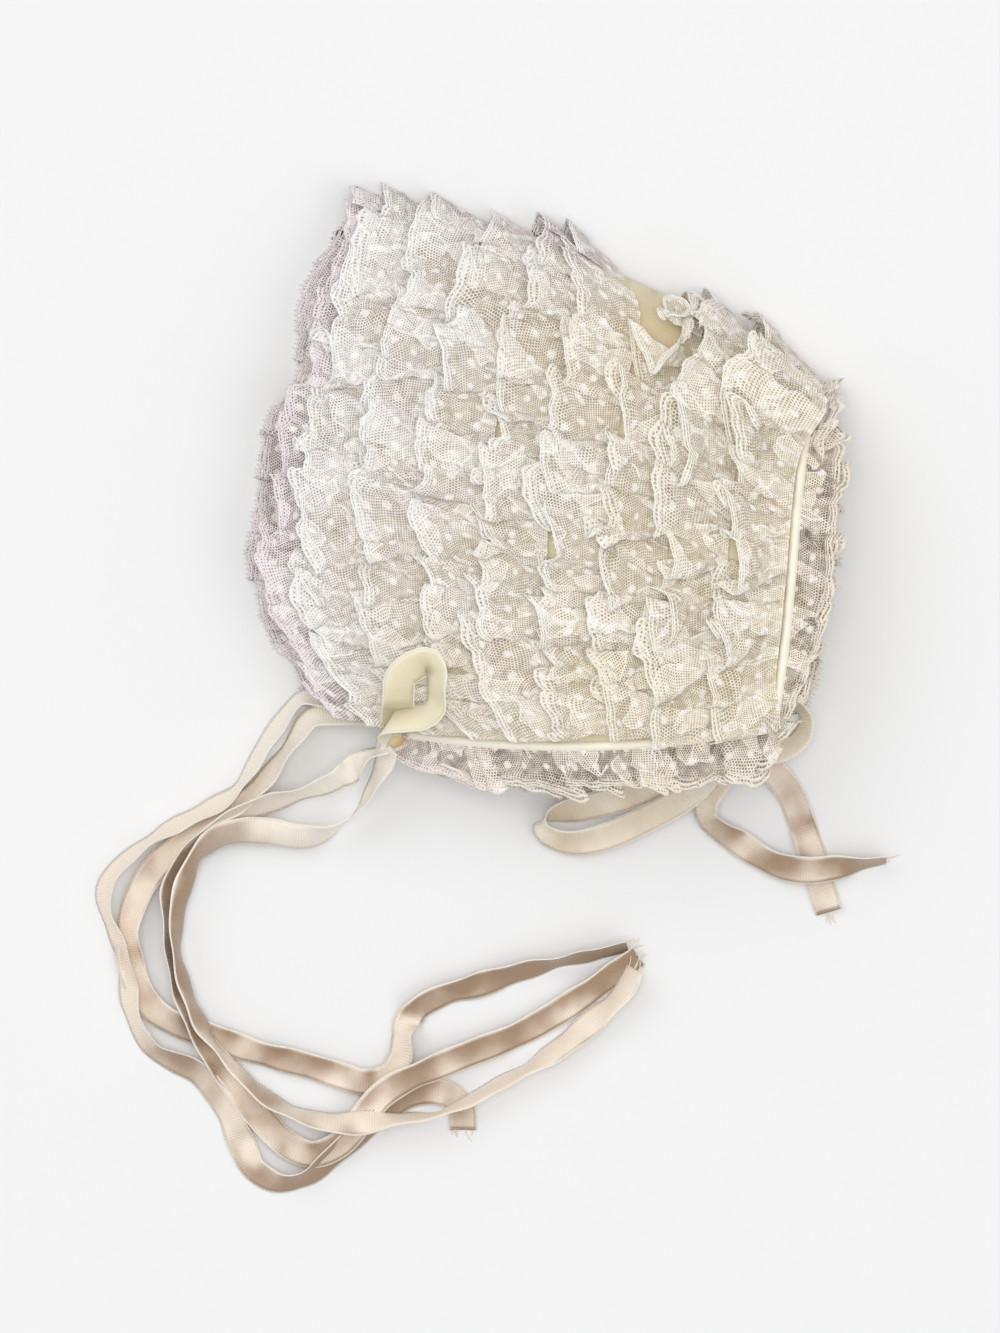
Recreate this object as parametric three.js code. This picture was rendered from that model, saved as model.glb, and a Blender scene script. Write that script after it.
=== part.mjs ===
// A baby's bonnet lying on its side: a hollow silk hood covered with rows of gathered net lace,
// a back panel, corded piping, lace round the edges, a satin loop, ribbon ties and a bow.
// Millimetres, +Z up. The face opening looks along -X and the neck opening along -Y.
import * as THREE from 'three';

// Driving dimensions of the hood
const HOOD_HEIGHT = 155;
const HOOD_DEPTH = 143;
const HOOD_RISE = 38;
const TOP_BULGE = 8;
const NECK_BULGE = 5;
const PANEL_TUCK = 12;
const CLOTH = 1.5;

// Driving dimensions of the lace
const LACE = 1.2;
const ROW_COUNT = 8;
const ROW_OVERLAP = 2.5;
const ROW_STAND = 5;
const ROW_WAVE = 1.6;
const ROW_PLEATS = 6;
const EDGE_WIDTH = 15;
const EDGE_HEM = 5.5;
const EDGE_STAND = 1.4;
const EDGE_WAVE = 2.2;
const EDGE_SCALLOP = 1.8;
const EDGE_PLEATS = 7;

// Driving dimensions of the piping, the knots and the ribbons
const PIPING = 3;
const CHIN_KNOT = 6;
const BOW_KNOT = 6.4;
const RIBBON_WIDTH = 8.4;
const RIBBON_THICKNESS = 0.8;

// The gap that pieces which touch keep, and the one where lace or piping follows curved cloth
const GAP = 0.3;
const SEAT_GAP = 0.6;

// The edge of the hood round the face, from the chin up: shares of the hood's height and depth
const FACE_EDGE = [
  { up: 0.0, back: 0.166 },
  { up: 0.2, back: 0.029 },
  { up: 0.4, back: 0.0 },
  { up: 0.6, back: 0.012 },
  { up: 0.8, back: 0.069 },
  { up: 1.0, back: 0.166 },
];

// The back seam, from the nape up, in the same shares
const BACK_SEAM = [
  { up: 0.012, back: 0.954 },
  { up: 0.15, back: 0.974 },
  { up: 0.29, back: 0.989 },
  { up: 0.43, back: 1.002 },
  { up: 0.56, back: 1.02 },
  { up: 0.678, back: 1.047 },
];

// How high the upper side stands from the face edge to the back seam, as a share of the rise
const CREST = [
  { rise: 0.5 },
  { rise: 0.66 },
  { rise: 0.84 },
  { rise: 0.95 },
  { rise: 1.0 },
  { rise: 0.92 },
];

// A cut across the hood, from the upper neck edge over the fold to the lower neck edge:
// up is a share of the way from neck to fold, lift a share of the rise there
const SECTION = [
  { up: 0.0, lift: 0.93 },
  { up: 0.18, lift: 0.98 },
  { up: 0.36, lift: 1.0 },
  { up: 0.54, lift: 0.965 },
  { up: 0.7, lift: 0.87 },
  { up: 0.83, lift: 0.71 },
  { up: 0.925, lift: 0.5 },
  { up: 0.98, lift: 0.27 },
  { up: 1.0, lift: 0.12 },
  { up: 0.975, lift: 0.025 },
  { up: 0.91, lift: 0.0 },
  { up: 0.78, lift: 0.0 },
  { up: 0.59, lift: 0.0 },
  { up: 0.4, lift: 0.0 },
  { up: 0.2, lift: 0.0 },
  { up: 0.0, lift: 0.0 },
];

// The rows of that table at the fold, and where the cloth comes down flat on what is under it
const FOLD_ROW = 8;
const FLAT_ROW = 10;

// Creases across the upper side: place and half width as shares of the height, depth of the rise
const CREASES = [
  { up: 0.66, half: 0.045, depth: 0.055 },
  { up: 0.48, half: 0.04, depth: 0.045 },
  { up: 0.34, half: 0.045, depth: 0.055 },
  { up: 0.19, half: 0.04, depth: 0.05 },
];

// Each lace row from the face to the back: how full it stands and waves against the rest,
// and where its first pleat starts, as a share of a pleat
const ROWS = [
  { stand: 0.85, wave: 0.9, phase: 0.0 },
  { stand: 0.9, wave: 1.0, phase: 0.4 },
  { stand: 1.0, wave: 1.0, phase: 0.75 },
  { stand: 0.95, wave: 1.0, phase: 0.2 },
  { stand: 1.0, wave: 1.1, phase: 0.6 },
  { stand: 1.1, wave: 1.1, phase: 0.1 },
  { stand: 1.15, wave: 1.15, phase: 0.5 },
  { stand: 1.0, wave: 1.1, phase: 0.9 },
];

// The underside of the hood lies on its own lace
const UNDERSIDE = LACE + GAP;
const PIPING_RADIUS = PIPING / 2;
const PIPING_SEAT = PIPING_RADIUS + SEAT_GAP;
const EDGE_START = PIPING + 2 * SEAT_GAP;

// Steps of the meshes
const HOOD_STEPS_BACK = 12;
const HOOD_STEPS_ROUND = 40;
const UPPER_STEPS = 32;
const FOLD_STEPS = 8;
const UNDER_STEPS = 8;
const LACE_STEPS_OUT = 2;
const RIBBON_STEPS = 38;
const TAIL_STEPS = 13;
const PANEL_STEPS_ACROSS = 6;
const PANEL_STEPS_UP = 20;

const up = new THREE.Vector3(0, 0, 1);
const faceEdge = new THREE.SplineCurve(
  FACE_EDGE.map((row) => new THREE.Vector2(row.back * HOOD_DEPTH, row.up * HOOD_HEIGHT)));
const backSeam = new THREE.SplineCurve(
  BACK_SEAM.map((row) => new THREE.Vector2(row.back * HOOD_DEPTH, row.up * HOOD_HEIGHT)));
const crest = new THREE.SplineCurve(CREST.map((row, i) => new THREE.Vector2(i, row.rise)));
const section = new THREE.SplineCurve(
  SECTION.map((row) => new THREE.Vector2(row.up * HOOD_HEIGHT, row.lift * HOOD_RISE)));
section.arcLengthDivisions = 300;

// A point of the hood's outside: back runs 0 to 1 from the face edge to the back seam,
// round runs 0 to 1 along the section's table
function hoodPoint(back, round) {
  const cut = section.getPoint(round);
  const share = Math.min(cut.x / HOOD_HEIGHT, 1);
  const front = faceEdge.getPoint(share);
  const rear = backSeam.getPoint(share);
  const belly = 4 * back * (1 - back);
  const bulge = TOP_BULGE * share ** 2 - NECK_BULGE * (1 - share) ** 2;
  let lift = cut.y / HOOD_RISE;
  for (const crease of CREASES) {
    lift -= crease.depth * Math.exp(-(((share - crease.up) / crease.half) ** 2));
  }
  return new THREE.Vector3(
    THREE.MathUtils.lerp(front.x, rear.x, back),
    THREE.MathUtils.lerp(front.y, rear.y, back) + bulge * belly,
    UNDERSIDE + HOOD_RISE * crest.getPoint(back).y * Math.max(lift, 0));
}

// The same point with the directions towards the back, round the section and out of the cloth
function hoodFrame(back, round) {
  const step = 0.004;
  const b0 = Math.max(back - step, 0);
  const b1 = Math.min(back + step, 1);
  const r0 = Math.max(round - step, 0);
  const r1 = Math.min(round + step, 1);
  const towardsBack = hoodPoint(b1, round).sub(hoodPoint(b0, round)).normalize();
  const towardsRound = hoodPoint(back, r1).sub(hoodPoint(back, r0)).normalize();
  const out = towardsBack.clone().cross(towardsRound).normalize();
  return { point: hoodPoint(back, round), towardsBack, towardsRound, out };
}

// The share of the section's length at one of its table rows
function lengthShare(row) {
  const lengths = section.getLengths();
  const last = lengths.length - 1;
  return lengths[Math.round(last * row / (SECTION.length - 1))] / lengths[last];
}

// The table position at a share of the section's length
function roundAt(share) {
  return section.getUtoTmapping(share);
}

// A closed sheet with two faces, each a function of two shares, and rims between them
function closedSheet(stepsAcross, stepsAlong, topFace, underFace) {
  const positions = [];
  for (const face of [topFace, underFace]) {
    for (let j = 0; j <= stepsAlong; j++) {
      for (let i = 0; i <= stepsAcross; i++) {
        positions.push(...face(i / stepsAcross, j / stepsAlong).toArray());
      }
    }
  }
  const layer = (stepsAcross + 1) * (stepsAlong + 1);
  const at = (i, j) => j * (stepsAcross + 1) + i;
  const index = [];
  const quad = (a, b, c, d) => index.push(a, b, c, a, c, d);
  for (let j = 0; j < stepsAlong; j++) {
    for (let i = 0; i < stepsAcross; i++) {
      const [a, b, c, d] = [at(i, j), at(i + 1, j), at(i + 1, j + 1), at(i, j + 1)];
      quad(a, b, c, d);
      quad(layer + a, layer + d, layer + c, layer + b);
    }
  }
  const rim = (a, b) => quad(a, layer + a, layer + b, b);
  for (let i = 0; i < stepsAcross; i++) {
    rim(at(i, 0), at(i + 1, 0));
    rim(at(i + 1, stepsAlong), at(i, stepsAlong));
  }
  for (let j = 0; j < stepsAlong; j++) {
    rim(at(0, j + 1), at(0, j));
    rim(at(stepsAcross, j), at(stepsAcross, j + 1));
  }
  const geometry = new THREE.BufferGeometry();
  geometry.setAttribute('position', new THREE.Float32BufferAttribute(positions, 3));
  geometry.setIndex(index);
  return facingOut(geometry);
}

// Turns the faces over when the body's volume comes out negative
function facingOut(geometry) {
  const place = geometry.getAttribute('position');
  const index = geometry.getIndex().array;
  const [a, b, c] = [new THREE.Vector3(), new THREE.Vector3(), new THREE.Vector3()];
  let volume = 0;
  for (let k = 0; k < index.length; k += 3) {
    a.fromBufferAttribute(place, index[k]);
    b.fromBufferAttribute(place, index[k + 1]);
    c.fromBufferAttribute(place, index[k + 2]);
    volume += a.dot(b.cross(c));
  }
  if (volume < 0) {
    for (let k = 0; k < index.length; k += 3) {
      [index[k], index[k + 1]] = [index[k + 1], index[k]];
    }
  }
  geometry.computeVertexNormals();
  return geometry;
}

// One lace strip. base(share) gives its header: a point, the way out along the strip and the
// way up. shape(out, share) gives the reach along the strip and the height of its lower face.
function laceStrip(steps, base, shape) {
  const face = (thickness) => (out, share) => {
    const header = base(share);
    const { reach, height } = shape(out, share);
    const spot = header.point.clone().addScaledVector(header.outwards, reach);
    const room = header.up.z < 0 ? spot.z / -header.up.z : Infinity;
    const outer = Math.min(height + LACE, room);
    return spot.addScaledVector(header.up, outer - LACE + thickness);
  };
  return closedSheet(LACE_STEPS_OUT, steps, face(LACE), face(0));
}

// How free a strip is to stand and wave: fully on the upper side, not at all where it lies flat
const foldShare = lengthShare(FOLD_ROW);
const flatShare = lengthShare(FLAT_ROW);
function freedom(lengthwise) {
  return 1 - THREE.MathUtils.smoothstep(lengthwise, foldShare, flatShare);
}

const seatGap = (free) => THREE.MathUtils.lerp(GAP, SEAT_GAP, free);

// Where the strips still overlap each other: they lie side by side from the fold on
const OVERLAP_FADE = 0.07;
function overlapping(lengthwise) {
  return 1 - THREE.MathUtils.smoothstep(lengthwise, foldShare - OVERLAP_FADE, foldShare);
}

// The two stretches of a strip that runs round the hood
const NECK_MARGIN = 0.006;
const SPLIT_GAP = 0.001;
const FOLD_LEAD = 0.02;
function upperStretch(share) {
  const bend = 1 - FOLD_STEPS / UPPER_STEPS;
  if (share < bend) {
    return THREE.MathUtils.lerp(NECK_MARGIN, foldShare - FOLD_LEAD, share / bend);
  }
  return THREE.MathUtils.lerp(
    foldShare - FOLD_LEAD, flatShare - SPLIT_GAP, (share - bend) / (1 - bend));
}
function underStretch(share) {
  return THREE.MathUtils.lerp(flatShare + SPLIT_GAP, 1 - NECK_MARGIN, share);
}
const pleatWave = (lengthwise, pleats, phase) =>
  Math.sin(2 * Math.PI * (pleats * lengthwise / flatShare + phase));

// A gathered row round the hood, from its header to its free edge nearer the face
function laceRow(number, stretch, steps) {
  const row = ROWS[number - 1];
  const headerShare = number / ROW_COUNT;
  const edgeShare = (number - 1) / ROW_COUNT;
  const point = (thickness) => (out, share) => {
    const lengthwise = stretch(share);
    const round = roundAt(lengthwise);
    const free = freedom(lengthwise);
    const depthHere = hoodPoint(1, round).distanceTo(hoodPoint(0, round));
    const header = headerShare - GAP / depthHere;
    const edge = edgeShare + (GAP - overlapping(lengthwise) * (ROW_OVERLAP + GAP)) / depthHere;
    const place = THREE.MathUtils.lerp(header, edge, out);
    const frame = hoodFrame(Math.max(place, 0), round);
    const past = Math.min(place, 0) * depthHere;
    const spot = frame.point.addScaledVector(frame.towardsBack, past);
    const wave = pleatWave(lengthwise, ROW_PLEATS, row.phase);
    const stand = ROW_STAND * row.stand * out ** 0.8 + ROW_WAVE * row.wave * out * wave;
    const room = frame.out.z < 0 ? spot.z / -frame.out.z : Infinity;
    const outer = Math.min(seatGap(free) + free * stand + LACE, room);
    return spot.addScaledVector(frame.out, outer - LACE + thickness);
  };
  return closedSheet(LACE_STEPS_OUT, steps, point(LACE), point(0));
}

// The lace that stands out in front of the face edge; its hem is sewn on top of the hood
function faceRuffle(stretch, steps) {
  const base = (share) => {
    const frame = hoodFrame(0, roundAt(stretch(share)));
    return { point: frame.point, outwards: frame.towardsBack.negate(), up: frame.out };
  };
  const shape = (out, share) => {
    const lengthwise = stretch(share);
    const free = freedom(lengthwise);
    const wave = free * pleatWave(lengthwise, EDGE_PLEATS, 0.3);
    const start = THREE.MathUtils.lerp(GAP, -EDGE_HEM, overlapping(lengthwise));
    const end = EDGE_WIDTH + EDGE_SCALLOP * wave;
    return {
      reach: THREE.MathUtils.lerp(start, end, out),
      height: seatGap(free) + free * out * (EDGE_STAND + EDGE_WAVE * out * wave),
    };
  };
  return laceStrip(steps, base, shape);
}

// The shape of lace that hangs on a piped edge, level with the middle of the hood's cloth
function pipedEdgeShape(freedomAt, waveAt) {
  return (out, share) => {
    const wave = freedomAt(share) * waveAt(share);
    return {
      reach: EDGE_START + out * (EDGE_WIDTH + EDGE_SCALLOP * wave),
      height: THREE.MathUtils.lerp(GAP, -(CLOTH + LACE) / 2, freedomAt(share)) + EDGE_WAVE * out * wave,
    };
  };
}

function backRuffle(stretch, steps) {
  const base = (share) => {
    const frame = hoodFrame(1, roundAt(stretch(share)));
    return { point: frame.point, outwards: frame.towardsBack, up: frame.out };
  };
  const shape = pipedEdgeShape(
    (share) => freedom(stretch(share)),
    (share) => pleatWave(stretch(share), EDGE_PLEATS, 0.6));
  return laceStrip(steps, base, shape);
}

// The upper neck edge, then a fan round the nape corner up to the back ruffle
const NECK_START = 0.03;
const FAN_SHARE = 0.16;
const FAN_TURN = THREE.MathUtils.degToRad(84);
function neckRuffle(steps) {
  const base = (share) => {
    const along = Math.min(share / (1 - FAN_SHARE), 1);
    const turn = FAN_TURN * Math.max((share - 1 + FAN_SHARE) / FAN_SHARE, 0);
    const frame = hoodFrame(THREE.MathUtils.lerp(NECK_START, 1, along), 0);
    const outwards = frame.towardsRound.clone().negate().applyAxisAngle(frame.out, turn);
    return { point: frame.point, outwards, up: frame.out };
  };
  const shape = pipedEdgeShape(
    () => 1,
    (share) => Math.sin(2 * Math.PI * (EDGE_PLEATS * share + 0.2)));
  return laceStrip(steps, base, shape);
}

function neckRuffleUnder(steps) {
  const base = (share) => {
    const frame = hoodFrame(THREE.MathUtils.lerp(NECK_START, 1 - NECK_MARGIN, share), 1);
    return { point: frame.point, outwards: frame.towardsRound, up: frame.out };
  };
  return laceStrip(steps, base, pipedEdgeShape(() => 0, () => 0));
}

// The back panel joins the two back seams just inside the hood and is tucked in between them
const PANEL_PLACE = 0.985;
const PANEL_TOP = 7;
const PANEL_TOP_UNDER = 6;
function panelPoint(height, across) {
  const rows = SECTION.length - 1;
  const above = hoodFrame(PANEL_PLACE, height * PANEL_TOP / rows);
  const below = hoodFrame(PANEL_PLACE, 1 - height * PANEL_TOP_UNDER / rows);
  const inset = -(CLOTH + SEAT_GAP);
  const upper = above.point.addScaledVector(above.out, inset);
  const lower = below.point.addScaledVector(below.out, inset);
  const point = lower.lerp(upper, across);
  point.x -= PANEL_TUCK * Math.sin(Math.PI * across) * (1 - height ** 2 * 0.6);
  return point;
}
function backPanel() {
  const outside = (across, height) => panelPoint(height, across);
  const inside = (across, height) => {
    const point = panelPoint(height, across);
    point.x -= CLOTH;
    return point;
  };
  return closedSheet(PANEL_STEPS_ACROSS, PANEL_STEPS_UP, outside, inside);
}

// A round cord along a curve
const CORD_SIDES = 6;
function cordAlong(points, steps) {
  const path = new THREE.CatmullRomCurve3(points, false, 'centripetal');
  const round = new THREE.Shape().absarc(0, 0, PIPING_RADIUS, 0, 2 * Math.PI);
  return new THREE.ExtrudeGeometry(round, {
    steps,
    curveSegments: CORD_SIDES / 2,
    bevelEnabled: false,
    extrudePath: path,
  });
}

const middleOfCloth = (frame) => frame.point.addScaledVector(frame.out, -CLOTH / 2);

function backPiping() {
  const points = [];
  const count = 26;
  for (let k = 0; k <= count; k++) {
    const share = THREE.MathUtils.lerp(NECK_MARGIN, 1 - NECK_MARGIN, k / count);
    const frame = hoodFrame(1, roundAt(share));
    points.push(middleOfCloth(frame).addScaledVector(frame.towardsBack, PIPING_SEAT));
  }
  return cordAlong(points, 40);
}

// One cord runs along the upper neck edge, down the back panel's lower edge and back underneath
function neckPiping() {
  const points = [];
  const count = 14;
  for (let k = 0; k <= count; k++) {
    const frame = hoodFrame(THREE.MathUtils.lerp(NECK_START, 0.965, k / count), 0);
    points.push(middleOfCloth(frame).addScaledVector(frame.towardsRound, -PIPING_SEAT));
  }
  for (const across of [0.86, 0.7, 0.5, 0.3, 0.14]) {
    const point = panelPoint(0, across);
    point.x -= CLOTH / 2;
    point.y -= PIPING_SEAT;
    points.push(point);
  }
  for (let k = count; k >= 0; k--) {
    const frame = hoodFrame(THREE.MathUtils.lerp(NECK_START, 0.965, k / count), 1);
    points.push(middleOfCloth(frame).addScaledVector(frame.towardsRound, PIPING_SEAT));
  }
  return cordAlong(points, 56);
}

// A flat ribbon along a route; its width lies level and square to the route, or along an axis
function ribbon(route, steps, widthAxis = null) {
  const path = new THREE.CatmullRomCurve3(
    route.map((spot) => new THREE.Vector3(...spot)), false, 'centripetal');
  const face = (side) => (across, along) => {
    const tangent = path.getTangentAt(along);
    const width = widthAxis ? widthAxis.clone() : up.clone().cross(tangent).normalize();
    const thick = tangent.clone().cross(width).normalize();
    return path.getPointAt(along)
      .addScaledVector(width, (across - 0.5) * RIBBON_WIDTH)
      .addScaledVector(thick, side * RIBBON_THICKNESS / 2);
  };
  return closedSheet(1, steps, face(1), face(-1));
}

// The routes of the free ribbons, in millimetres: across and along from the knot that they leave,
// and up from the surface. The far ties come out from between the two sides of the hood.
const CHIN_TIES = {
  chin_tie_far_1: [
    [-1.3, 11.2, 3.8], [-10.3, 10.6, 3.8], [-19.9, 11.2, 3.6], [-28, 12.4, 2.4],
    [-34, 5.8, 0.9], [-39.1, -1.4, 0.6], [-43.9, -9.8, 0.5], [-49.6, -17, 0.5],
    [-58, -21.8, 0.5], [-66.1, -26, 0.5], [-73.3, -30.2, 0.5], [-79.3, -34.7, 0.5],
    [-84.7, -39.8, 0.5], [-87.4, -45.5, 0.5], [-86.8, -51.8, 0.5], [-84.1, -58.4, 0.5],
    [-81.7, -65, 0.5], [-80.2, -72.2, 0.5], [-79.6, -79.1, 0.5], [-77.5, -86, 0.5],
    [-73, -92.9, 0.5], [-66.4, -96.5, 0.5], [-59.5, -99.8, 0.5], [-53.5, -106.4, 0.5],
    [-49.3, -113.9, 0.5], [-46, -122, 0.5], [-42.1, -129.2, 0.5], [-34.3, -132.8, 0.5],
    [-26.2, -131, 0.5], [-19.3, -125, 0.5], [-12.1, -119, 0.5], [-4.9, -113, 0.5],
    [2.3, -107.6, 0.5], [10.1, -105.5, 0.5], [16.1, -106.7, 0.5], [19.7, -110.6, 0.5],
    [20, -117.2, 0.5],
  ],
  chin_tie_far_2: [
    [-0.1, 8.2, 5.1], [-9.1, 7.6, 5.1], [-18.1, 7.6, 5.1], [-25.3, 6.4, 4.6],
    [-29.8, 0.7, 3.4], [-34, -5.3, 2.3], [-39.7, -12.8, 1.6], [-46.9, -19.1, 1.6],
    [-55.3, -24.2, 1.6], [-63.1, -29.3, 1.6], [-69.1, -35, 1.6], [-74.5, -41.6, 1.6],
    [-78.1, -48.8, 1.6], [-80.2, -56.6, 1.6], [-79.9, -65, 1.6], [-77.8, -73.1, 1.6],
    [-73.3, -80.3, 1.6], [-66.1, -85.1, 1.6], [-57.1, -88.4, 1.6], [-46.9, -92, 1.6],
    [-36.7, -95, 1.6], [-26.5, -97.7, 1.6], [-16.9, -100.7, 1.6], [-8.5, -102.8, 1.6],
    [-2.2, -101, 1.6], [1.4, -95.3, 1.6], [2, -88.1, 0.8], [5.9, -81.2, 0.5],
    [14.3, -76.4, 0.5], [23.3, -74, 0.5], [32.3, -71, 0.5], [41.3, -68.3, 0.5],
    [50.3, -66.2, 0.8], [59.9, -64.1, 1.6], [69.2, -61.7, 1.6],
  ],
  chin_tie_near_1: [
    [-3.1, -1.4, 15.2], [-6.7, -4.1, 13], [-11.8, -7.7, 10], [-17.5, -11.6, 6.8],
    [-24.7, -14.9, 3.8], [-32.5, -17.3, 2.7], [-40.3, -19.7, 2.7], [-48.1, -23, 2.7],
    [-55, -27.2, 2.7], [-60.4, -32.6, 2.7], [-64.6, -38.6, 2.7], [-67.6, -45.5, 2.7],
    [-68.5, -53, 2.7], [-67.6, -60.8, 2.7], [-66.1, -68.6, 2.7], [-64, -76.4, 2.7],
    [-61, -84.2, 2.7], [-56.8, -92, 2.7], [-51.4, -99.2, 2.7], [-46, -106.7, 2.7],
    [-40, -114.2, 2.7], [-33.1, -121.1, 2.7], [-25, -124.4, 2.7], [-17.2, -121.4, 2.7],
    [-10.9, -114.5, 2.7], [-4.9, -107, 2.7], [2.3, -102.2, 2.7], [10.7, -98.6, 2.2],
    [19.7, -95, 1.4], [29.3, -91.4, 0.8], [38.9, -87.2, 0.5], [47.9, -82.1, 0.5],
    [56.3, -76.7, 0.5], [64.1, -71, 0.5], [72.5, -65, 0.5],
  ],
  chin_tie_near_2: [
    [-1.6, -2, 17.4], [-3.1, -6.2, 15.6], [-5.8, -11.6, 12], [-9.1, -17.6, 8.0],
    [-13.3, -23.3, 4.6], [-19.9, -27.8, 3.8], [-28.3, -29.3, 3.8], [-37.3, -27.8, 3.8],
    [-46, -27.5, 3.8], [-53.8, -29.6, 3.8], [-59.2, -34.4, 3.8], [-62.5, -41, 3.8],
    [-64.6, -48.2, 3.8], [-65.5, -56.3, 3.8], [-65.2, -64.4, 3.8], [-63.4, -72.2, 3.8],
    [-60.7, -79.7, 3.8], [-57.1, -87.2, 3.8], [-52, -94.1, 3.8], [-46, -100.4, 3.8],
    [-39.7, -106.4, 3.8], [-31.9, -110.9, 3.8], [-22.9, -113.9, 3.8], [-13.9, -114.8, 3.8],
    [-4.9, -113.9, 3.8], [3.5, -113, 3.4], [11.9, -112.1, 2.6], [20.3, -108.8, 1.9],
    [28.7, -104, 1.3], [37.4, -99.5, 1.1], [46.1, -94.4, 1.3], [54.5, -88.1, 1.6],
    [62, -81.5, 2.1], [68.3, -74.9, 2.7], [71.3, -68.6, 2.9],
  ],
};
const NAPE_TAILS = {
  nape_tail_1: [
    [0.6, -2.9, 7.4], [-1.3, -6.8, 5.0], [-4.8, -12.2, 3.3], [-7.3, -17, 2.6],
    [-6.9, -21.8, 2.0], [-3, -25.4, 1.8], [2.4, -28.7, 1.7], [8.7, -32.9, 1.7],
    [15.9, -36.2, 1.7], [23.7, -37.1, 1.7], [31.5, -36.2, 1.3], [39.3, -35, 0.7],
    [46.5, -33.8, 0.5],
  ],
  nape_tail_2: [
    [6, -1.7, 4.4], [9.3, -4.4, 3.4], [12.6, -7.4, 2.3], [15.9, -11.3, 1.2],
    [18.9, -16.4, 0.5], [21, -22.1, 0.5], [23.1, -28.7, 0.5], [25.2, -35.3, 0.5],
    [27.3, -42.5, 0.5], [29.4, -49.7, 0.5],
  ],
};

// A knot of wrapped ribbon, seen as a flattened ball
function knot(size, flat) {
  const geometry = new THREE.SphereGeometry(size / 2, 10, 6);
  geometry.scale(1, 1, flat);
  return geometry;
}

// The satin loop and its knot sit just below the upper chin corner
const chinFrame = hoodFrame(0, 0);
const chinKnotPlace = chinFrame.point.clone()
  .addScaledVector(chinFrame.towardsRound, -(CHIN_KNOT / 2 + 2 * SEAT_GAP))
  .addScaledVector(chinFrame.towardsBack, -1);
const ROSETTE_LOOP = [
  [0.8, 0.6, 2.6], [1.2, 1.4, 6.4], [2.4, 4.6, 10.4], [4.4, 12, 13.6], [6.6, 19, 15.4],
  [8.2, 24, 17], [9.8, 23, 19], [12, 17, 19.6], [12.6, 11, 18.8], [9.8, 4.4, 15.2],
  [6.4, -0.4, 9.8], [4, -1.6, 3.6],
];

// The bow hangs on the neck piping where it passes the back panel
const bowSeat = panelPoint(0, 0.25);
const bowPlace = bowSeat.clone()
  .add(new THREE.Vector3(-CLOTH / 2, -(PIPING_SEAT + PIPING_RADIUS + GAP + BOW_KNOT / 2), 0));
const BOW_LOOP_LEFT = [
  [-3.9, -4.2, -0.8], [-12, -13.8, -3.6], [-24, -21, -5.6], [-37.5, -27, -5.8],
  [-48, -28.8, -5.8], [-55.2, -26.4, -6.2], [-57.2, -24, -6.9], [-54.6, -21.3, -7.6],
  [-45, -18.6, -7.6], [-33, -15.6, -7.6], [-19.5, -10.2, -7.2], [-5.9, -3.2, -4.6],
];
const BOW_LOOP_RIGHT = [
  [3.4, -1.8, -1.2], [9, -2.2, -1.2], [16, -0.6, -1.2], [20.2, 3, -1.2], [20.8, 8.4, -1.2],
  [17.6, 11.6, -1.2], [12.4, 8.6, -1.2], [8, 4, -1.2], [4.4, 1, -1.2],
];
const LOOP_STEPS = 26;
const leftLoopWidth = new THREE.Vector3(0.37, -0.93, 0).normalize();
const rosetteWidth = new THREE.Vector3(1, 0, 0);

const silk = { color: 0xf3ead2, roughness: 0.55, metalness: 0 };
const lace = { color: 0xece6d6, roughness: 0.9, metalness: 0 };
const edging = { color: 0xd8cdd0, roughness: 0.9, metalness: 0 };
const cord = { color: 0xf6eed8, roughness: 0.6, metalness: 0 };
const satin = { color: 0xf2e6bd, roughness: 0.35, metalness: 0 };
const tape = { color: 0xcbb8a4, roughness: 0.5, metalness: 0 };

const parts = new THREE.Group();
function addPart(name, geometry, look) {
  const mesh = new THREE.Mesh(geometry, new THREE.MeshStandardMaterial(look));
  mesh.name = name;
  parts.add(mesh);
  return mesh;
}

// The hood: its outside, and its inside one cloth thickness in
const hoodOutside = (back, round) => hoodPoint(back, round);
const hoodInside = (back, round) => {
  const frame = hoodFrame(back, round);
  return frame.point.addScaledVector(frame.out, -CLOTH);
};
addPart('hood', closedSheet(HOOD_STEPS_BACK, HOOD_STEPS_ROUND, hoodOutside, hoodInside), silk);
addPart('back_panel', backPanel(), silk);
addPart('back_piping', backPiping(), cord);
addPart('neck_piping', neckPiping(), cord);

for (let number = 1; number <= ROW_COUNT; number++) {
  addPart(`lace_row_${number}`, laceRow(number, upperStretch, UPPER_STEPS), lace);
  addPart(`lace_row_${number}_under`, laceRow(number, underStretch, UNDER_STEPS), lace);
}
addPart('face_ruffle', faceRuffle(upperStretch, UPPER_STEPS), edging);
addPart('face_ruffle_under', faceRuffle(underStretch, UNDER_STEPS), edging);
addPart('back_ruffle', backRuffle(upperStretch, UPPER_STEPS), edging);
addPart('back_ruffle_under', backRuffle(underStretch, UNDER_STEPS), edging);
addPart('neck_ruffle', neckRuffle(UPPER_STEPS), edging);
addPart('neck_ruffle_under', neckRuffleUnder(UNDER_STEPS), edging);

addPart('rosette_knot', knot(CHIN_KNOT, 0.6), satin).position.copy(chinKnotPlace);
addPart('rosette_loop', ribbon(ROSETTE_LOOP, LOOP_STEPS, rosetteWidth), satin)
  .position.copy(chinKnotPlace);
addPart('nape_bow_knot', knot(BOW_KNOT, 0.8), tape).position.copy(bowPlace);
addPart('nape_bow_loop_left', ribbon(BOW_LOOP_LEFT, LOOP_STEPS, leftLoopWidth), tape)
  .position.copy(bowPlace);
addPart('nape_bow_loop_right', ribbon(BOW_LOOP_RIGHT, LOOP_STEPS, up), tape)
  .position.copy(bowPlace);

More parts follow.
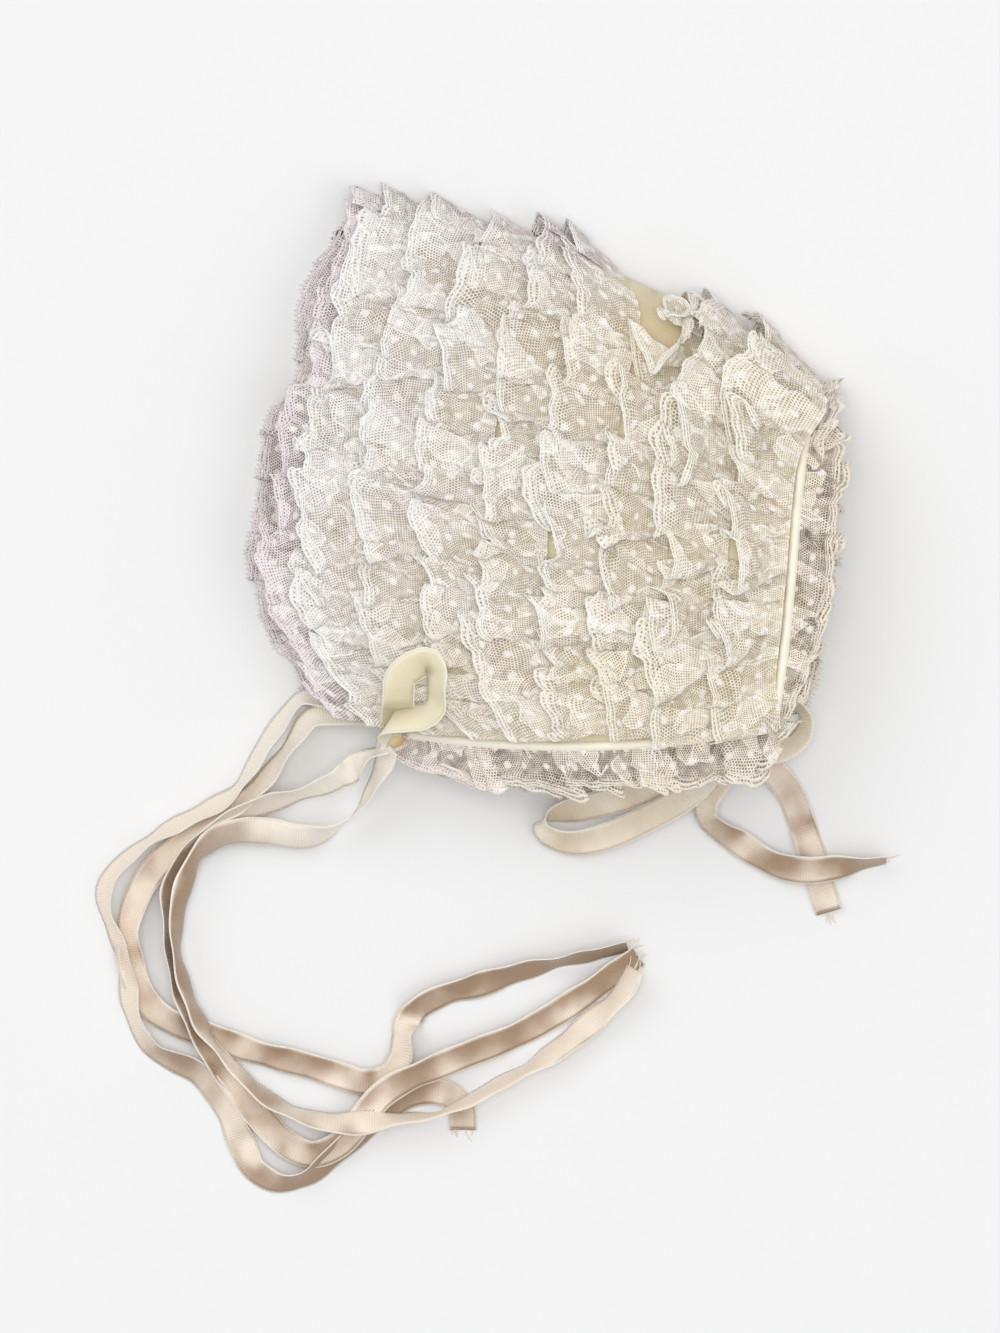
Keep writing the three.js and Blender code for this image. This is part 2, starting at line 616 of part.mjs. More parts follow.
const freeRibbons = [];
function addRibbons(routes, steps, knotPlace) {
  for (const [name, route] of Object.entries(routes)) {
    const mesh = addPart(name, ribbon(route, steps), tape);
    mesh.position.set(knotPlace.x, knotPlace.y, 0);
    freeRibbons.push(mesh);
  }
}
addRibbons(CHIN_TIES, RIBBON_STEPS, chinKnotPlace);
addRibbons(NAPE_TAILS, TAIL_STEPS, bowPlace);

// The origin is the middle of the bonnet's box, without its free ribbons, at the surface
const box = new THREE.Box3();
parts.updateMatrixWorld(true);
for (const mesh of parts.children) {
  if (!freeRibbons.includes(mesh)) box.expandByObject(mesh, true);
}
const centre = box.getCenter(new THREE.Vector3());
parts.position.set(-centre.x, -centre.y, -box.min.z);

const bonnet = new THREE.Group();
bonnet.add(parts);
export default bonnet;
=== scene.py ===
"""The looks of the baby bonnet: gathered net lace over a silk hood, corded piping, satin ribbons."""
import math

import bpy
import numpy as np
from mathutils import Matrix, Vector


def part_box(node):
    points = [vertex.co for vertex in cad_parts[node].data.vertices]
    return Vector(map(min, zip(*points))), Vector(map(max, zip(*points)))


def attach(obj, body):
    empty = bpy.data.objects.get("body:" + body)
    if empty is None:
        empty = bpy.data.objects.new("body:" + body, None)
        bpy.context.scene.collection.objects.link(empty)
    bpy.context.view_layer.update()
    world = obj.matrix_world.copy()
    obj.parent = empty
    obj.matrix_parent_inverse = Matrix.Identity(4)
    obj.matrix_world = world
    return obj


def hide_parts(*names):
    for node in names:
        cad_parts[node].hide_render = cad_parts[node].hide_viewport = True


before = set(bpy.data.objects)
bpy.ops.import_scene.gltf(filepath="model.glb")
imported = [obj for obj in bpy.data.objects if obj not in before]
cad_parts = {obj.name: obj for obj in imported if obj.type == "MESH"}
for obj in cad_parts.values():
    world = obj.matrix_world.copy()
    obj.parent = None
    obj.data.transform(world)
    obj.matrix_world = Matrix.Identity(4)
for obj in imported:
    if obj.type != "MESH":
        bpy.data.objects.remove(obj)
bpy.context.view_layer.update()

# Everything is worked out in millimetres, and put into the meshes in metres
MM = 0.001

# Sizes of the hood, as in the part's own source
HOOD_HEIGHT = 155.0
HOOD_DEPTH = 143.0
HOOD_RISE = 38.0
TOP_BULGE = 8.0
NECK_BULGE = 5.0
PANEL_TUCK = 12.0
CLOTH = 1.5
UNDERSIDE = 1.5
PIPING_RADIUS = 1.5
PIPING_SEAT = 1.5
ROW_COUNT = 8
RIBBON_WIDTH = 8.4
RIBBON_THICKNESS = 0.24

# The face edge and the back seam, upwards: shares of the hood's height and depth
FACE_EDGE = [(0.0, 0.166), (0.2, 0.029), (0.4, 0.0), (0.6, 0.012), (0.8, 0.069), (1.0, 0.166)]
BACK_SEAM = [(0.012, 0.954), (0.15, 0.974), (0.29, 0.989), (0.43, 1.002), (0.56, 1.02), (0.678, 1.047)]

# How high the upper side stands, from the face edge to the back seam
CREST = [0.5, 0.66, 0.84, 0.95, 1.0, 0.92]

# A cut across the hood from the upper neck edge over the fold to the lower neck edge: up, lift
SECTION = [
    (0.0, 0.93), (0.18, 0.98), (0.36, 1.0), (0.54, 0.965), (0.7, 0.87), (0.83, 0.71),
    (0.925, 0.5), (0.98, 0.27), (1.0, 0.12), (0.975, 0.025), (0.91, 0.0), (0.78, 0.0),
    (0.59, 0.0), (0.4, 0.0), (0.2, 0.0), (0.0, 0.0),
]
FOLD_ROW = 8
FLAT_ROW = 10

# Creases across the upper side: place, half width, depth
CREASES = [(0.66, 0.045, 0.055), (0.48, 0.04, 0.045), (0.34, 0.045, 0.055), (0.19, 0.04, 0.05)]


def together(*values):
    """Arrays of one shape."""
    return np.broadcast_arrays(*(np.asarray(value, float) for value in values))


def spline(table, share):
    """The curve through equally spaced rows of a table; share is an array from 0 to 1."""
    rows = np.asarray(table, float)
    rows = rows[:, None] if rows.ndim == 1 else rows
    last = len(rows) - 1
    place = np.clip(np.asarray(share, float), 0, 1) * last
    start = np.minimum(np.floor(place).astype(int), last - 1)
    t = (place - start)[..., None]
    p0, p1 = rows[np.maximum(start - 1, 0)], rows[start]
    p2, p3 = rows[start + 1], rows[np.minimum(start + 2, last)]
    v0, v1 = (p2 - p0) / 2, (p3 - p1) / 2
    return (2 * p1 - 2 * p2 + v0 + v1) * t**3 + (3 * p2 - 3 * p1 - 2 * v0 - v1) * t**2 + v0 * t + p1


def unit(vectors):
    return vectors / np.maximum(np.linalg.norm(vectors, axis=-1, keepdims=True), 1e-9)


def smoothstep(x, low, high):
    t = np.clip((x - low) / (high - low), 0, 1)
    return t * t * (3 - 2 * t)


def ways_along(line):
    """The way along a line to each of its points."""
    return np.concatenate([[0], np.cumsum(np.linalg.norm(np.diff(line, axis=0), axis=1))])


SECTION_MM = [(row_up * HOOD_HEIGHT, lift * HOOD_RISE) for row_up, lift in SECTION]
FACE_MM = [(back * HOOD_DEPTH, row_up * HOOD_HEIGHT) for row_up, back in FACE_EDGE]
BACK_MM = [(back * HOOD_DEPTH, row_up * HOOD_HEIGHT) for row_up, back in BACK_SEAM]


def hood_raw(back, along):
    """A point of the hood's outside in the hood's own frame; back and along run from 0 to 1."""
    back, along = together(back, along)
    cut = spline(SECTION_MM, along)
    share = np.minimum(cut[..., 0] / HOOD_HEIGHT, 1)
    front, rear = spline(FACE_MM, share), spline(BACK_MM, share)
    belly = 4 * back * (1 - back)
    bulge = TOP_BULGE * share**2 - NECK_BULGE * (1 - share) ** 2
    lift = cut[..., 1] / HOOD_RISE
    for place, half, depth in CREASES:
        lift = lift - depth * np.exp(-(((share - place) / half) ** 2))
    return np.stack([
        front[..., 0] + (rear[..., 0] - front[..., 0]) * back,
        front[..., 1] + (rear[..., 1] - front[..., 1]) * back + bulge * belly,
        UNDERSIDE + HOOD_RISE * spline(CREST, back)[..., 0] * np.maximum(lift, 0),
    ], -1)


# The shares of the section's length against its table positions
steps = np.linspace(0, 1, 301)
cuts = spline(SECTION_MM, steps)
lengths = ways_along(cuts)
lengths /= lengths[-1]
FOLD_SHARE = lengths[round(300 * FOLD_ROW / (len(SECTION) - 1))]
FLAT_SHARE = lengths[round(300 * FLAT_ROW / (len(SECTION) - 1))]


def round_at(lengthwise):
    return np.interp(lengthwise, lengths, steps)


# The hood's own frame starts at the lower left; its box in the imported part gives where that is
corner = np.array(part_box("hood")[0]) / MM
raw = hood_raw(np.linspace(0, 1, 41)[None, :], np.linspace(0, 1, 401)[:, None]).reshape(-1, 3)
SHIFT = np.array([*(corner[:2] - raw.min(0)[:2]), 0.0])
KNOT_PLACE = np.array(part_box("rosette_knot")[0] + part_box("rosette_knot")[1]) / 2 / MM
BOW_PLACE = np.array(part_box("nape_bow_knot")[0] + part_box("nape_bow_knot")[1]) / 2 / MM


def hood_point(back, along):
    return hood_raw(back, along) + SHIFT


def hood_frame(back, along):
    """Points of the hood, and there the directions to the back, round the section and outwards."""
    step = 0.004
    back, along = together(back, along)
    b0, b1 = np.maximum(back - step, 0), np.minimum(back + step, 1)
    r0, r1 = np.maximum(along - step, 0), np.minimum(along + step, 1)
    to_back = unit(hood_raw(b1, along) - hood_raw(b0, along))
    to_round = unit(hood_raw(back, r1) - hood_raw(back, r0))
    return hood_point(back, along), to_back, to_round, unit(np.cross(to_back, to_round))


scene = bpy.context.scene


def add_object(name, data):
    made = bpy.data.objects.new(name, data)
    scene.collection.objects.link(made)
    return made


def add_mesh(name, points, faces, material, uvs=None, edge_uvs=None):
    """A smooth mesh object. points are in millimetres; uvs and edge_uvs hold a row for each point."""
    faces = faces.tolist() if isinstance(faces, np.ndarray) else faces
    mesh = bpy.data.meshes.new(name)
    mesh.from_pydata((np.asarray(points) * MM).tolist(), [], faces)
    corners = np.empty(len(mesh.loops), np.int32)
    mesh.loops.foreach_get("vertex_index", corners)
    for label, values in (("Lace", uvs), ("Edge", edge_uvs)):
        if values is not None:
            layer = mesh.uv_layers.new(name=label)
            layer.data.foreach_set("uv", np.asarray(values, np.float32)[corners].ravel())
    mesh.polygons.foreach_set("use_smooth", [True] * len(mesh.polygons))
    mesh.materials.append(material)
    mesh.update()
    return add_object(name, mesh)


def dress(piece, slot, *nodes):
    """Puts a piece on the part's one body, in place of the solids that it stands for."""
    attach(piece, "root")
    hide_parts(*nodes)


def grid_faces(rows, columns, closed=False):
    """Quads of a grid of points, row by row; closed joins the last column to the first."""
    j, i = np.meshgrid(np.arange(rows - 1), np.arange(columns if closed else columns - 1), indexing="ij")
    k = (i + 1) % columns
    quads = np.stack([j * columns + i, j * columns + k, (j + 1) * columns + k, (j + 1) * columns + i], -1)
    return quads.reshape(-1, 4)


def closed_sheet(top, under):
    """Points and faces of a sheet with two faces and rims; both are grids of points."""
    rows, columns = top.shape[:2]
    layer = rows * columns
    faces = grid_faces(rows, columns)
    ring = np.concatenate([
        np.arange(columns), columns * np.arange(1, rows) + columns - 1,
        layer - 2 - np.arange(columns - 1), columns * np.arange(rows - 2, 0, -1),
    ])
    after = np.roll(ring, -1)
    rim = np.stack([ring, ring + layer, after + layer, after], -1)
    points = np.concatenate([top.reshape(-1, 3), under.reshape(-1, 3)])
    return points, np.concatenate([faces, faces[:, ::-1] + layer, rim])


# Materials
def colour(red, green, blue):
    """A colour given as it looks on the screen."""
    return (*(c / 12.92 if c <= 0.04045 else ((c + 0.055) / 1.055) ** 2.4 for c in (red, green, blue)), 1)


class Value:
    """A node's output. Sums, differences and products of it are math nodes of their own."""

    def __init__(self, nodes, socket):
        self.nodes = nodes
        self.socket = socket

    def __add__(self, other):
        return self.nodes.math("ADD", self, other)

    def __sub__(self, other):
        return self.nodes.math("SUBTRACT", self, other)

    def __mul__(self, other):
        return self.nodes.math("MULTIPLY", self, other)


class Nodes:
    """Makes a material's nodes with short calls."""

    def __init__(self, name):
        self.material = bpy.data.materials.new(name)
        self.material.use_nodes = True
        self.tree = self.material.node_tree

    def put(self, value, socket):
        """Links a value or sets a number; three numbers are a colour as it looks on the screen."""
        if isinstance(value, Value):
            self.tree.links.new(value.socket, socket)
        elif value is not None:
            on_screen = isinstance(value, tuple) and len(value) == 3
            socket.default_value = colour(*value) if on_screen else value

    def node(self, kind, inputs=(), output=0, **settings):
        """A new node with its inputs, by place or by name; gives one of its outputs."""
        made = self.tree.nodes.new(kind)
        for key, value in settings.items():
            setattr(made, key, value)
        for key, value in dict(inputs).items():
            self.put(value, made.inputs[key])
        return Value(self, made.outputs[output])

    def shade(self, **inputs):
        """Sets or links the shader's inputs, with an underscore for each space in their names."""
        shader = self.tree.nodes["Principled BSDF"]
        for name, value in inputs.items():
            self.put(value, shader.inputs[name.replace("_", " ")])
        return self.material

    def math(self, operation, *values):
        return self.node("ShaderNodeMath", enumerate(values), operation=operation)

    def mix(self, factor, a, b):
        return self.node("ShaderNodeMix", {"Factor": factor, 6: a, 7: b}, 2, data_type="RGBA")

    def spread(self, value, low, high, to_low=0.0, to_high=1.0):
        """A smooth step of a value, from to_low at low to to_high at high."""
        inputs = enumerate((value, low, high, to_low, to_high))
        return self.node("ShaderNodeMapRange", inputs, interpolation_type="SMOOTHSTEP")

    def place(self):
        return self.node("ShaderNodeTexCoord", output="Object")

    def split(self, vector):
        made = self.node("ShaderNodeSeparateXYZ", {0: vector}).socket.node
        return [Value(self, socket) for socket in made.outputs]

    def vector(self, x, y):
        return self.node("ShaderNodeCombineXYZ", {0: x, 1: y})

    def uv(self, name):
        return self.split(self.node("ShaderNodeUVMap", uv_map=name))

    def noise(self, scale, detail=2.0, rough=0.5, vector=None):
        vector = self.place() if vector is None else vector
        inputs = {"Vector": vector, "Scale": scale, "Detail": detail, "Roughness": rough}
        return self.node("ShaderNodeTexNoise", inputs)

    def cells(self, feature, output, vector):
        return self.node("ShaderNodeTexVoronoi", {"Vector": vector, "Scale": 1.0}, output, feature=feature)

    def bump(self, height, strength, distance, normal=None):
        inputs = {"Strength": strength, "Distance": distance, "Height": height, "Normal": normal}
        return self.node("ShaderNodeBump", inputs)


def coolness(nodes):
    """1 at the upper left and 0 towards the back, with faint stains between."""
    x, y, _ = nodes.split(nodes.place())
    stains = nodes.noise(38.0, 3.0) * 1.1 - 0.55
    return nodes.spread(x * 9.0 - y * 3.0 + stains, -0.75, 0.35, 1.0, 0.0)


def old_white(nodes, cool, warm, low=None):
    """Cooler at the upper left, warmer towards the back, and low beyond the top edge: there low is a painted
    mauve-grey shade for the lace that shows its underside over the top.
    """
    patches = nodes.spread(nodes.noise(26.0), 0.48, 0.68, 0.0, 0.5)
    base = nodes.mix(coolness(nodes), nodes.mix(patches, warm, (0.95, 0.905, 0.80)), cool)
    if low is None:
        return base
    # Painted shade: beyond a line near the top edge the colour turns to low, mauve-grey
    x, y, _ = nodes.split(nodes.place())
    return nodes.mix(nodes.spread(x * 0.357 + y, 0.078, 0.083, 0.0, 0.85), base, low)


# The net's holes and woven dots, in millimetres
NET_CELL = 0.84
DOT_PITCH = 7.2
DOT_RADIUS = 2.1
# The denser edge of the net: how wide it is, and the pitch of its threads
EDGE_BAND = 3.0
EDGE_PITCH = 1.15
# The ribbons' cross ribs and paler selvedges
RIB_PITCH = 0.8
SELVEDGE = 0.6
# The silk's threads, in radians for each metre
WEAVE = 9000.0


def lattice(nodes, u, v, pitch_u, pitch_v):
    """The distance to the nearest point of a staggered lattice."""
    def distance(offset):
        off_u, off_v = (
            (nodes.math("FRACT", value * (1 / pitch) + offset) - 0.5) * pitch
            for value, pitch in ((u, pitch_u), (v, pitch_v)))
        return nodes.math("SQRT", off_u * off_u + off_v * off_v)

    return nodes.math("MINIMUM", distance(0.0), distance(0.5))


def net_material(name, cool, warm, low, open_share, deep, shade_fill_opacity, dots, dot_colour):
    """Bobbin net: threads round staggered holes, with soft woven dots, denser along the scalloped edge.
    deep is a painted shade that fills the holes, standing for the shaded layers beneath; the next argument
    sets how opaque that painted fill is, and dots how dense the dots are."""
    nodes = Nodes(name)
    u, v, _ = nodes.uv("Lace")
    from_edge = nodes.uv("Edge")[1]
    wobble = nodes.noise(420.0, 1.0) * 0.26 - 0.13
    nearest = lattice(nodes, u, v, NET_CELL, NET_CELL * math.sqrt(3)) + wobble
    crushed = nodes.vector(
        nodes.noise(90.0, 1.0) * 0.9 + u * (1 / 7.5), nodes.noise(75.0, 1.0) * 0.9 + v * (1 / 11.0))
    layered = nodes.split(nodes.cells("F1", "Color", crushed))[0]
    rim = nodes.cells("DISTANCE_TO_EDGE", "Distance", crushed)
    radius = NET_CELL * math.sqrt(open_share * 0.866 / math.pi)
    closed = coolness(nodes) * -0.16 + 1.0
    hole = closed * nodes.spread(layered, 0.3, 0.7, 1.1 * radius, 0.68 * radius)
    wave = nodes.math("SINE", from_edge * (2 * math.pi / EDGE_PITCH))
    thick = nodes.spread(from_edge, EDGE_BAND, EDGE_BAND - 1) * nodes.spread(wave, -0.5, 0.3)
    thread = nodes.math("MAXIMUM", nodes.spread(nearest - hole, -0.08, 0.08), thick)
    off_dots = lattice(nodes, nodes.noise(70.0, 0.0) * 2.4 + u, v, DOT_PITCH, DOT_PITCH * 1.62)
    off_dots = nodes.noise(800.0, 1.0) * 0.6 + off_dots
    inside = nodes.spread(from_edge, EDGE_BAND, EDGE_BAND + 1)
    dot = nodes.spread(off_dots, DOT_RADIUS, 1.0, 0.0, dots) * inside
    line = nodes.spread(rim, 0.045, 0.015) * nodes.spread(layered, 0.35, 0.6, 0.0, 0.8)
    white = nodes.math("MAXIMUM", dot, line)
    # Painted shade: in the holes the colour is deep, for the shaded layers beneath
    shade = nodes.mix(thread, deep, old_white(nodes, cool, warm, low))
    creases = nodes.math("ABSOLUTE", nodes.noise(130.0, 3.0, 0.6) * 2.0 - 1.0)
    folds = nodes.bump(nodes.spread(creases, 0.0, 0.25), 0.6, 0.0008)
    relief = nodes.bump(dot, 0.5, 0.0003, folds)
    # The holes keep the painted shade, partly opaque
    return nodes.shade(
        Base_Color=nodes.mix(white, shade, dot_colour),
        Alpha=nodes.math("MAXIMUM", thread, white) * (1 - shade_fill_opacity) + shade_fill_opacity,
        Roughness=0.85, Sheen_Weight=0.3,
        Normal=nodes.bump(nodes.noise(330.0, 2.0, 0.6), 0.4, 0.0006, relief))


def thread_material(name, cool, warm):
    nodes = Nodes(name)
    return nodes.shade(
        Base_Color=old_white(nodes, cool, warm), Roughness=0.7, Sheen_Weight=0.4,
        Normal=nodes.bump(nodes.noise(2500.0), 0.4, 0.0002))


def silk_material(name, light, dark):
    """Woven silk with slubs and soft wrinkles."""
    nodes = Nodes(name)
    x, y, z = nodes.split(nodes.place())
    warp, weft = (nodes.math("SINE", value * WEAVE) for value in (y + z, x))
    grain = nodes.bump(warp * weft, 0.25, 0.0001)
    return nodes.shade(
        Base_Color=nodes.mix(nodes.spread(nodes.noise(30.0, 4.0), 0.35, 0.7), light, dark),
        Roughness=0.45, Sheen_Weight=0.25, Normal=nodes.bump(nodes.noise(120.0, 3.0), 0.35, 0.0009, grain))


def ribbon_material(name, light, dark, pale, pale_from, pale_to, wide=RIBBON_WIDTH, ribbed=0.045):
    """Ribbed satin tape with paler selvedges, whiter near the bonnet. UV is millimetres along and across.
    Its colour goes between light and dark with painted light and shade: lighter where the tape faces the
    upper left, in painted bands along it for its twists, and with stains. On the rosette the whiter stretch
    is a painted highlight.
    """
    nodes = Nodes(name)
    u, v, _ = nodes.uv("Lace")
    stains = nodes.noise(60.0, 3.0)
    # Painted light: lighter where the tape's normal faces the upper left, darker where it faces away
    to_right, up, facing = nodes.split(nodes.node("ShaderNodeNewGeometry", output="Normal"))
    painted_light_from_upper_left = (to_right - up) * nodes.math("SIGN", facing)
    # Painted shade: long light and dark bands along the tape that stand for the shading of its twists
    painted_twist_shading = nodes.noise(1.0, 1.0, 0.5, nodes.vector(u * (1 / 19.0), v * (1 / 60.0)))
    painted_shading_and_stains = painted_twist_shading * 0.45 + stains * 0.45 + painted_light_from_upper_left * 0.24
    # Light to dark follows the painted light and shade, with real stains mixed in
    base = nodes.mix(nodes.spread(painted_shading_and_stains, 0.3, 0.64), light, dark)
    base = nodes.mix(nodes.spread(stains * 30.0 + u, pale_from, pale_to, 1.0, 0.0), base, pale)
    ribs = nodes.math("SINE", u * (2 * math.pi / RIB_PITCH))
    # Painted shade: every rib's groove is painted darker
    base = nodes.mix(ribs * ribbed + ribbed, base, (*(0.45 * part for part in colour(*dark)[:3]), 1))
    selvedge = nodes.spread(nodes.math("ABSOLUTE", v), wide / 2 - SELVEDGE, wide / 2 - SELVEDGE + 0.2)
    step = nodes.bump(selvedge, 0.5, 0.0002, nodes.bump(ribs, 8 * ribbed, 0.00015))
    return nodes.shade(
        Base_Color=nodes.mix(selvedge * 0.8, base, pale), Roughness=0.38, Sheen_Weight=0.2,
        Anisotropic=0.5, Normal=nodes.bump(nodes.noise(180.0), 0.3, 0.0006, step))


# Rows' net: the fourth colour is a painted mauve-grey shade beyond the top edge, the sixth a painted beige
# shade in the holes for the shaded silk beneath
net = net_material(
    "net_lace", (0.935, 0.918, 0.908), (0.955, 0.92, 0.855), (0.84, 0.79, 0.80), 0.44,
    (0.79, 0.73, 0.63), 0.3, 0.8, (0.985, 0.97, 0.94))
gimp = thread_material("lace_cord", (0.99, 0.99, 0.98), (0.99, 0.98, 0.94))
# Edges' net: the sixth colour is a painted dark brown shade in the holes, for the shaded layers under them
edging_net = net_material(
    "edging_lace", (0.95, 0.92, 0.925), (0.95, 0.91, 0.85), None, 0.54,
    (0.43, 0.36, 0.31), 0.5, 0.85, (0.98, 0.955, 0.93))
edging_gimp = thread_material("edging_cord", (0.95, 0.91, 0.92), (0.95, 0.92, 0.87))
silk = silk_material("silk", (0.89, 0.84, 0.71), (0.84, 0.77, 0.62))
piping_silk = silk_material("piping_silk", (0.98, 0.96, 0.90), (0.97, 0.94, 0.86))
ROSETTE_WIDTH = 9.6
# Painted highlight: the rosette's whiter stretch, 6 to 30 mm along it, stands for the highlights on its lower
# band
rosette_satin = ribbon_material(
    "rosette_satin", (0.93, 0.895, 0.78), (0.80, 0.75, 0.60), (0.98, 0.97, 0.92), 6.0, 30.0,
    wide=ROSETTE_WIDTH, ribbed=0.0)
# Chin ties: the dark colour serves both the painted shade of turned, twisted parts and the stains
tape = ribbon_material(
    "ribbon", (0.98, 0.92, 0.85), (0.66, 0.55, 0.45), (0.98, 0.95, 0.90), 40.0, 100.0)
# Painted light: a lighter copy of the ribbon, to make up for the shade the bow lies in under the neck lace;
# the bow's knot and the loose threads use it too
bow_tape_painted_lighter = ribbon_material(
    "bow_ribbon_painted_lighter", (0.99, 0.95, 0.88), (0.86, 0.79, 0.69), (0.99, 0.96, 0.92), -20.0, 0.0)
stained_satin = ribbon_material(
    "stained_satin", (0.95, 0.90, 0.76), (0.78, 0.64, 0.42), (0.9, 0.8, 0.6), -20.0, 0.0)


# The camera looks straight down from far off, on a frame 400 mm high at the surface. In metres
CAMERA_HEIGHT = 4.0
VIEW_CENTRE = (-0.0192, -0.0430)
VIEW_HEIGHT = 0.400
SENSOR = 36.0
camera_data = bpy.data.cameras.new("camera")
camera_data.sensor_fit = "VERTICAL"
camera_data.sensor_height = SENSOR
camera_data.lens = SENSOR * CAMERA_HEIGHT / VIEW_HEIGHT
camera = add_object("camera", camera_data)
camera.location = (*VIEW_CENTRE, CAMERA_HEIGHT)
scene.camera = camera

# Round soft lamps that look at the bonnet: name, place in metres, size, watts, tint
LAMPS = [
    ("key", (-1.5, 1.5, 2.4), 2.8, 27.0, (1.0, 0.99, 0.97)),
    ("overhead", (0.0, 0.0, 4.5), 2.4, 68.0, (1.0, 1.0, 1.0)),
    ("fill", (1.8, -1.0, 2.6), 2.4, 18.0, (0.97, 0.98, 1.0)),
]
for name, spot, size, watts, tint in LAMPS:
    data = bpy.data.lights.new(name, "AREA")
    data.shape = "DISK"
    data.size = size
    data.energy = watts
    data.color = tint
    light = add_object(name, data)
    light.location = spot
    light.rotation_euler = (-Vector(spot)).to_track_quat("-Z", "Y").to_euler()

world = bpy.data.worlds.new("studio")
world.use_nodes = True
sky = world.node_tree.nodes["Background"].inputs
sky["Color"].default_value = (0.98, 0.985, 1.0, 1)
sky["Strength"].default_value = 0.485
scene.world = world
scene.view_settings.view_transform = "Standard"
scene.cycles.transparent_max_bounces = 32
scene.cycles.denoising_prefilter = "NONE"

FLOOR_REACH = 3000
floor_look = Nodes("floor").shade(Base_Color=(0.86, 0.86, 0.86, 1), Roughness=0.9, Specular_IOR_Level=0.1)
floor_corners = [(x * FLOOR_REACH, y * FLOOR_REACH, 0) for x, y in ((-1, -1), (1, -1), (1, 1), (-1, 1))]
floor = add_mesh("floor", floor_corners, [(0, 1, 2, 3)], floor_look)


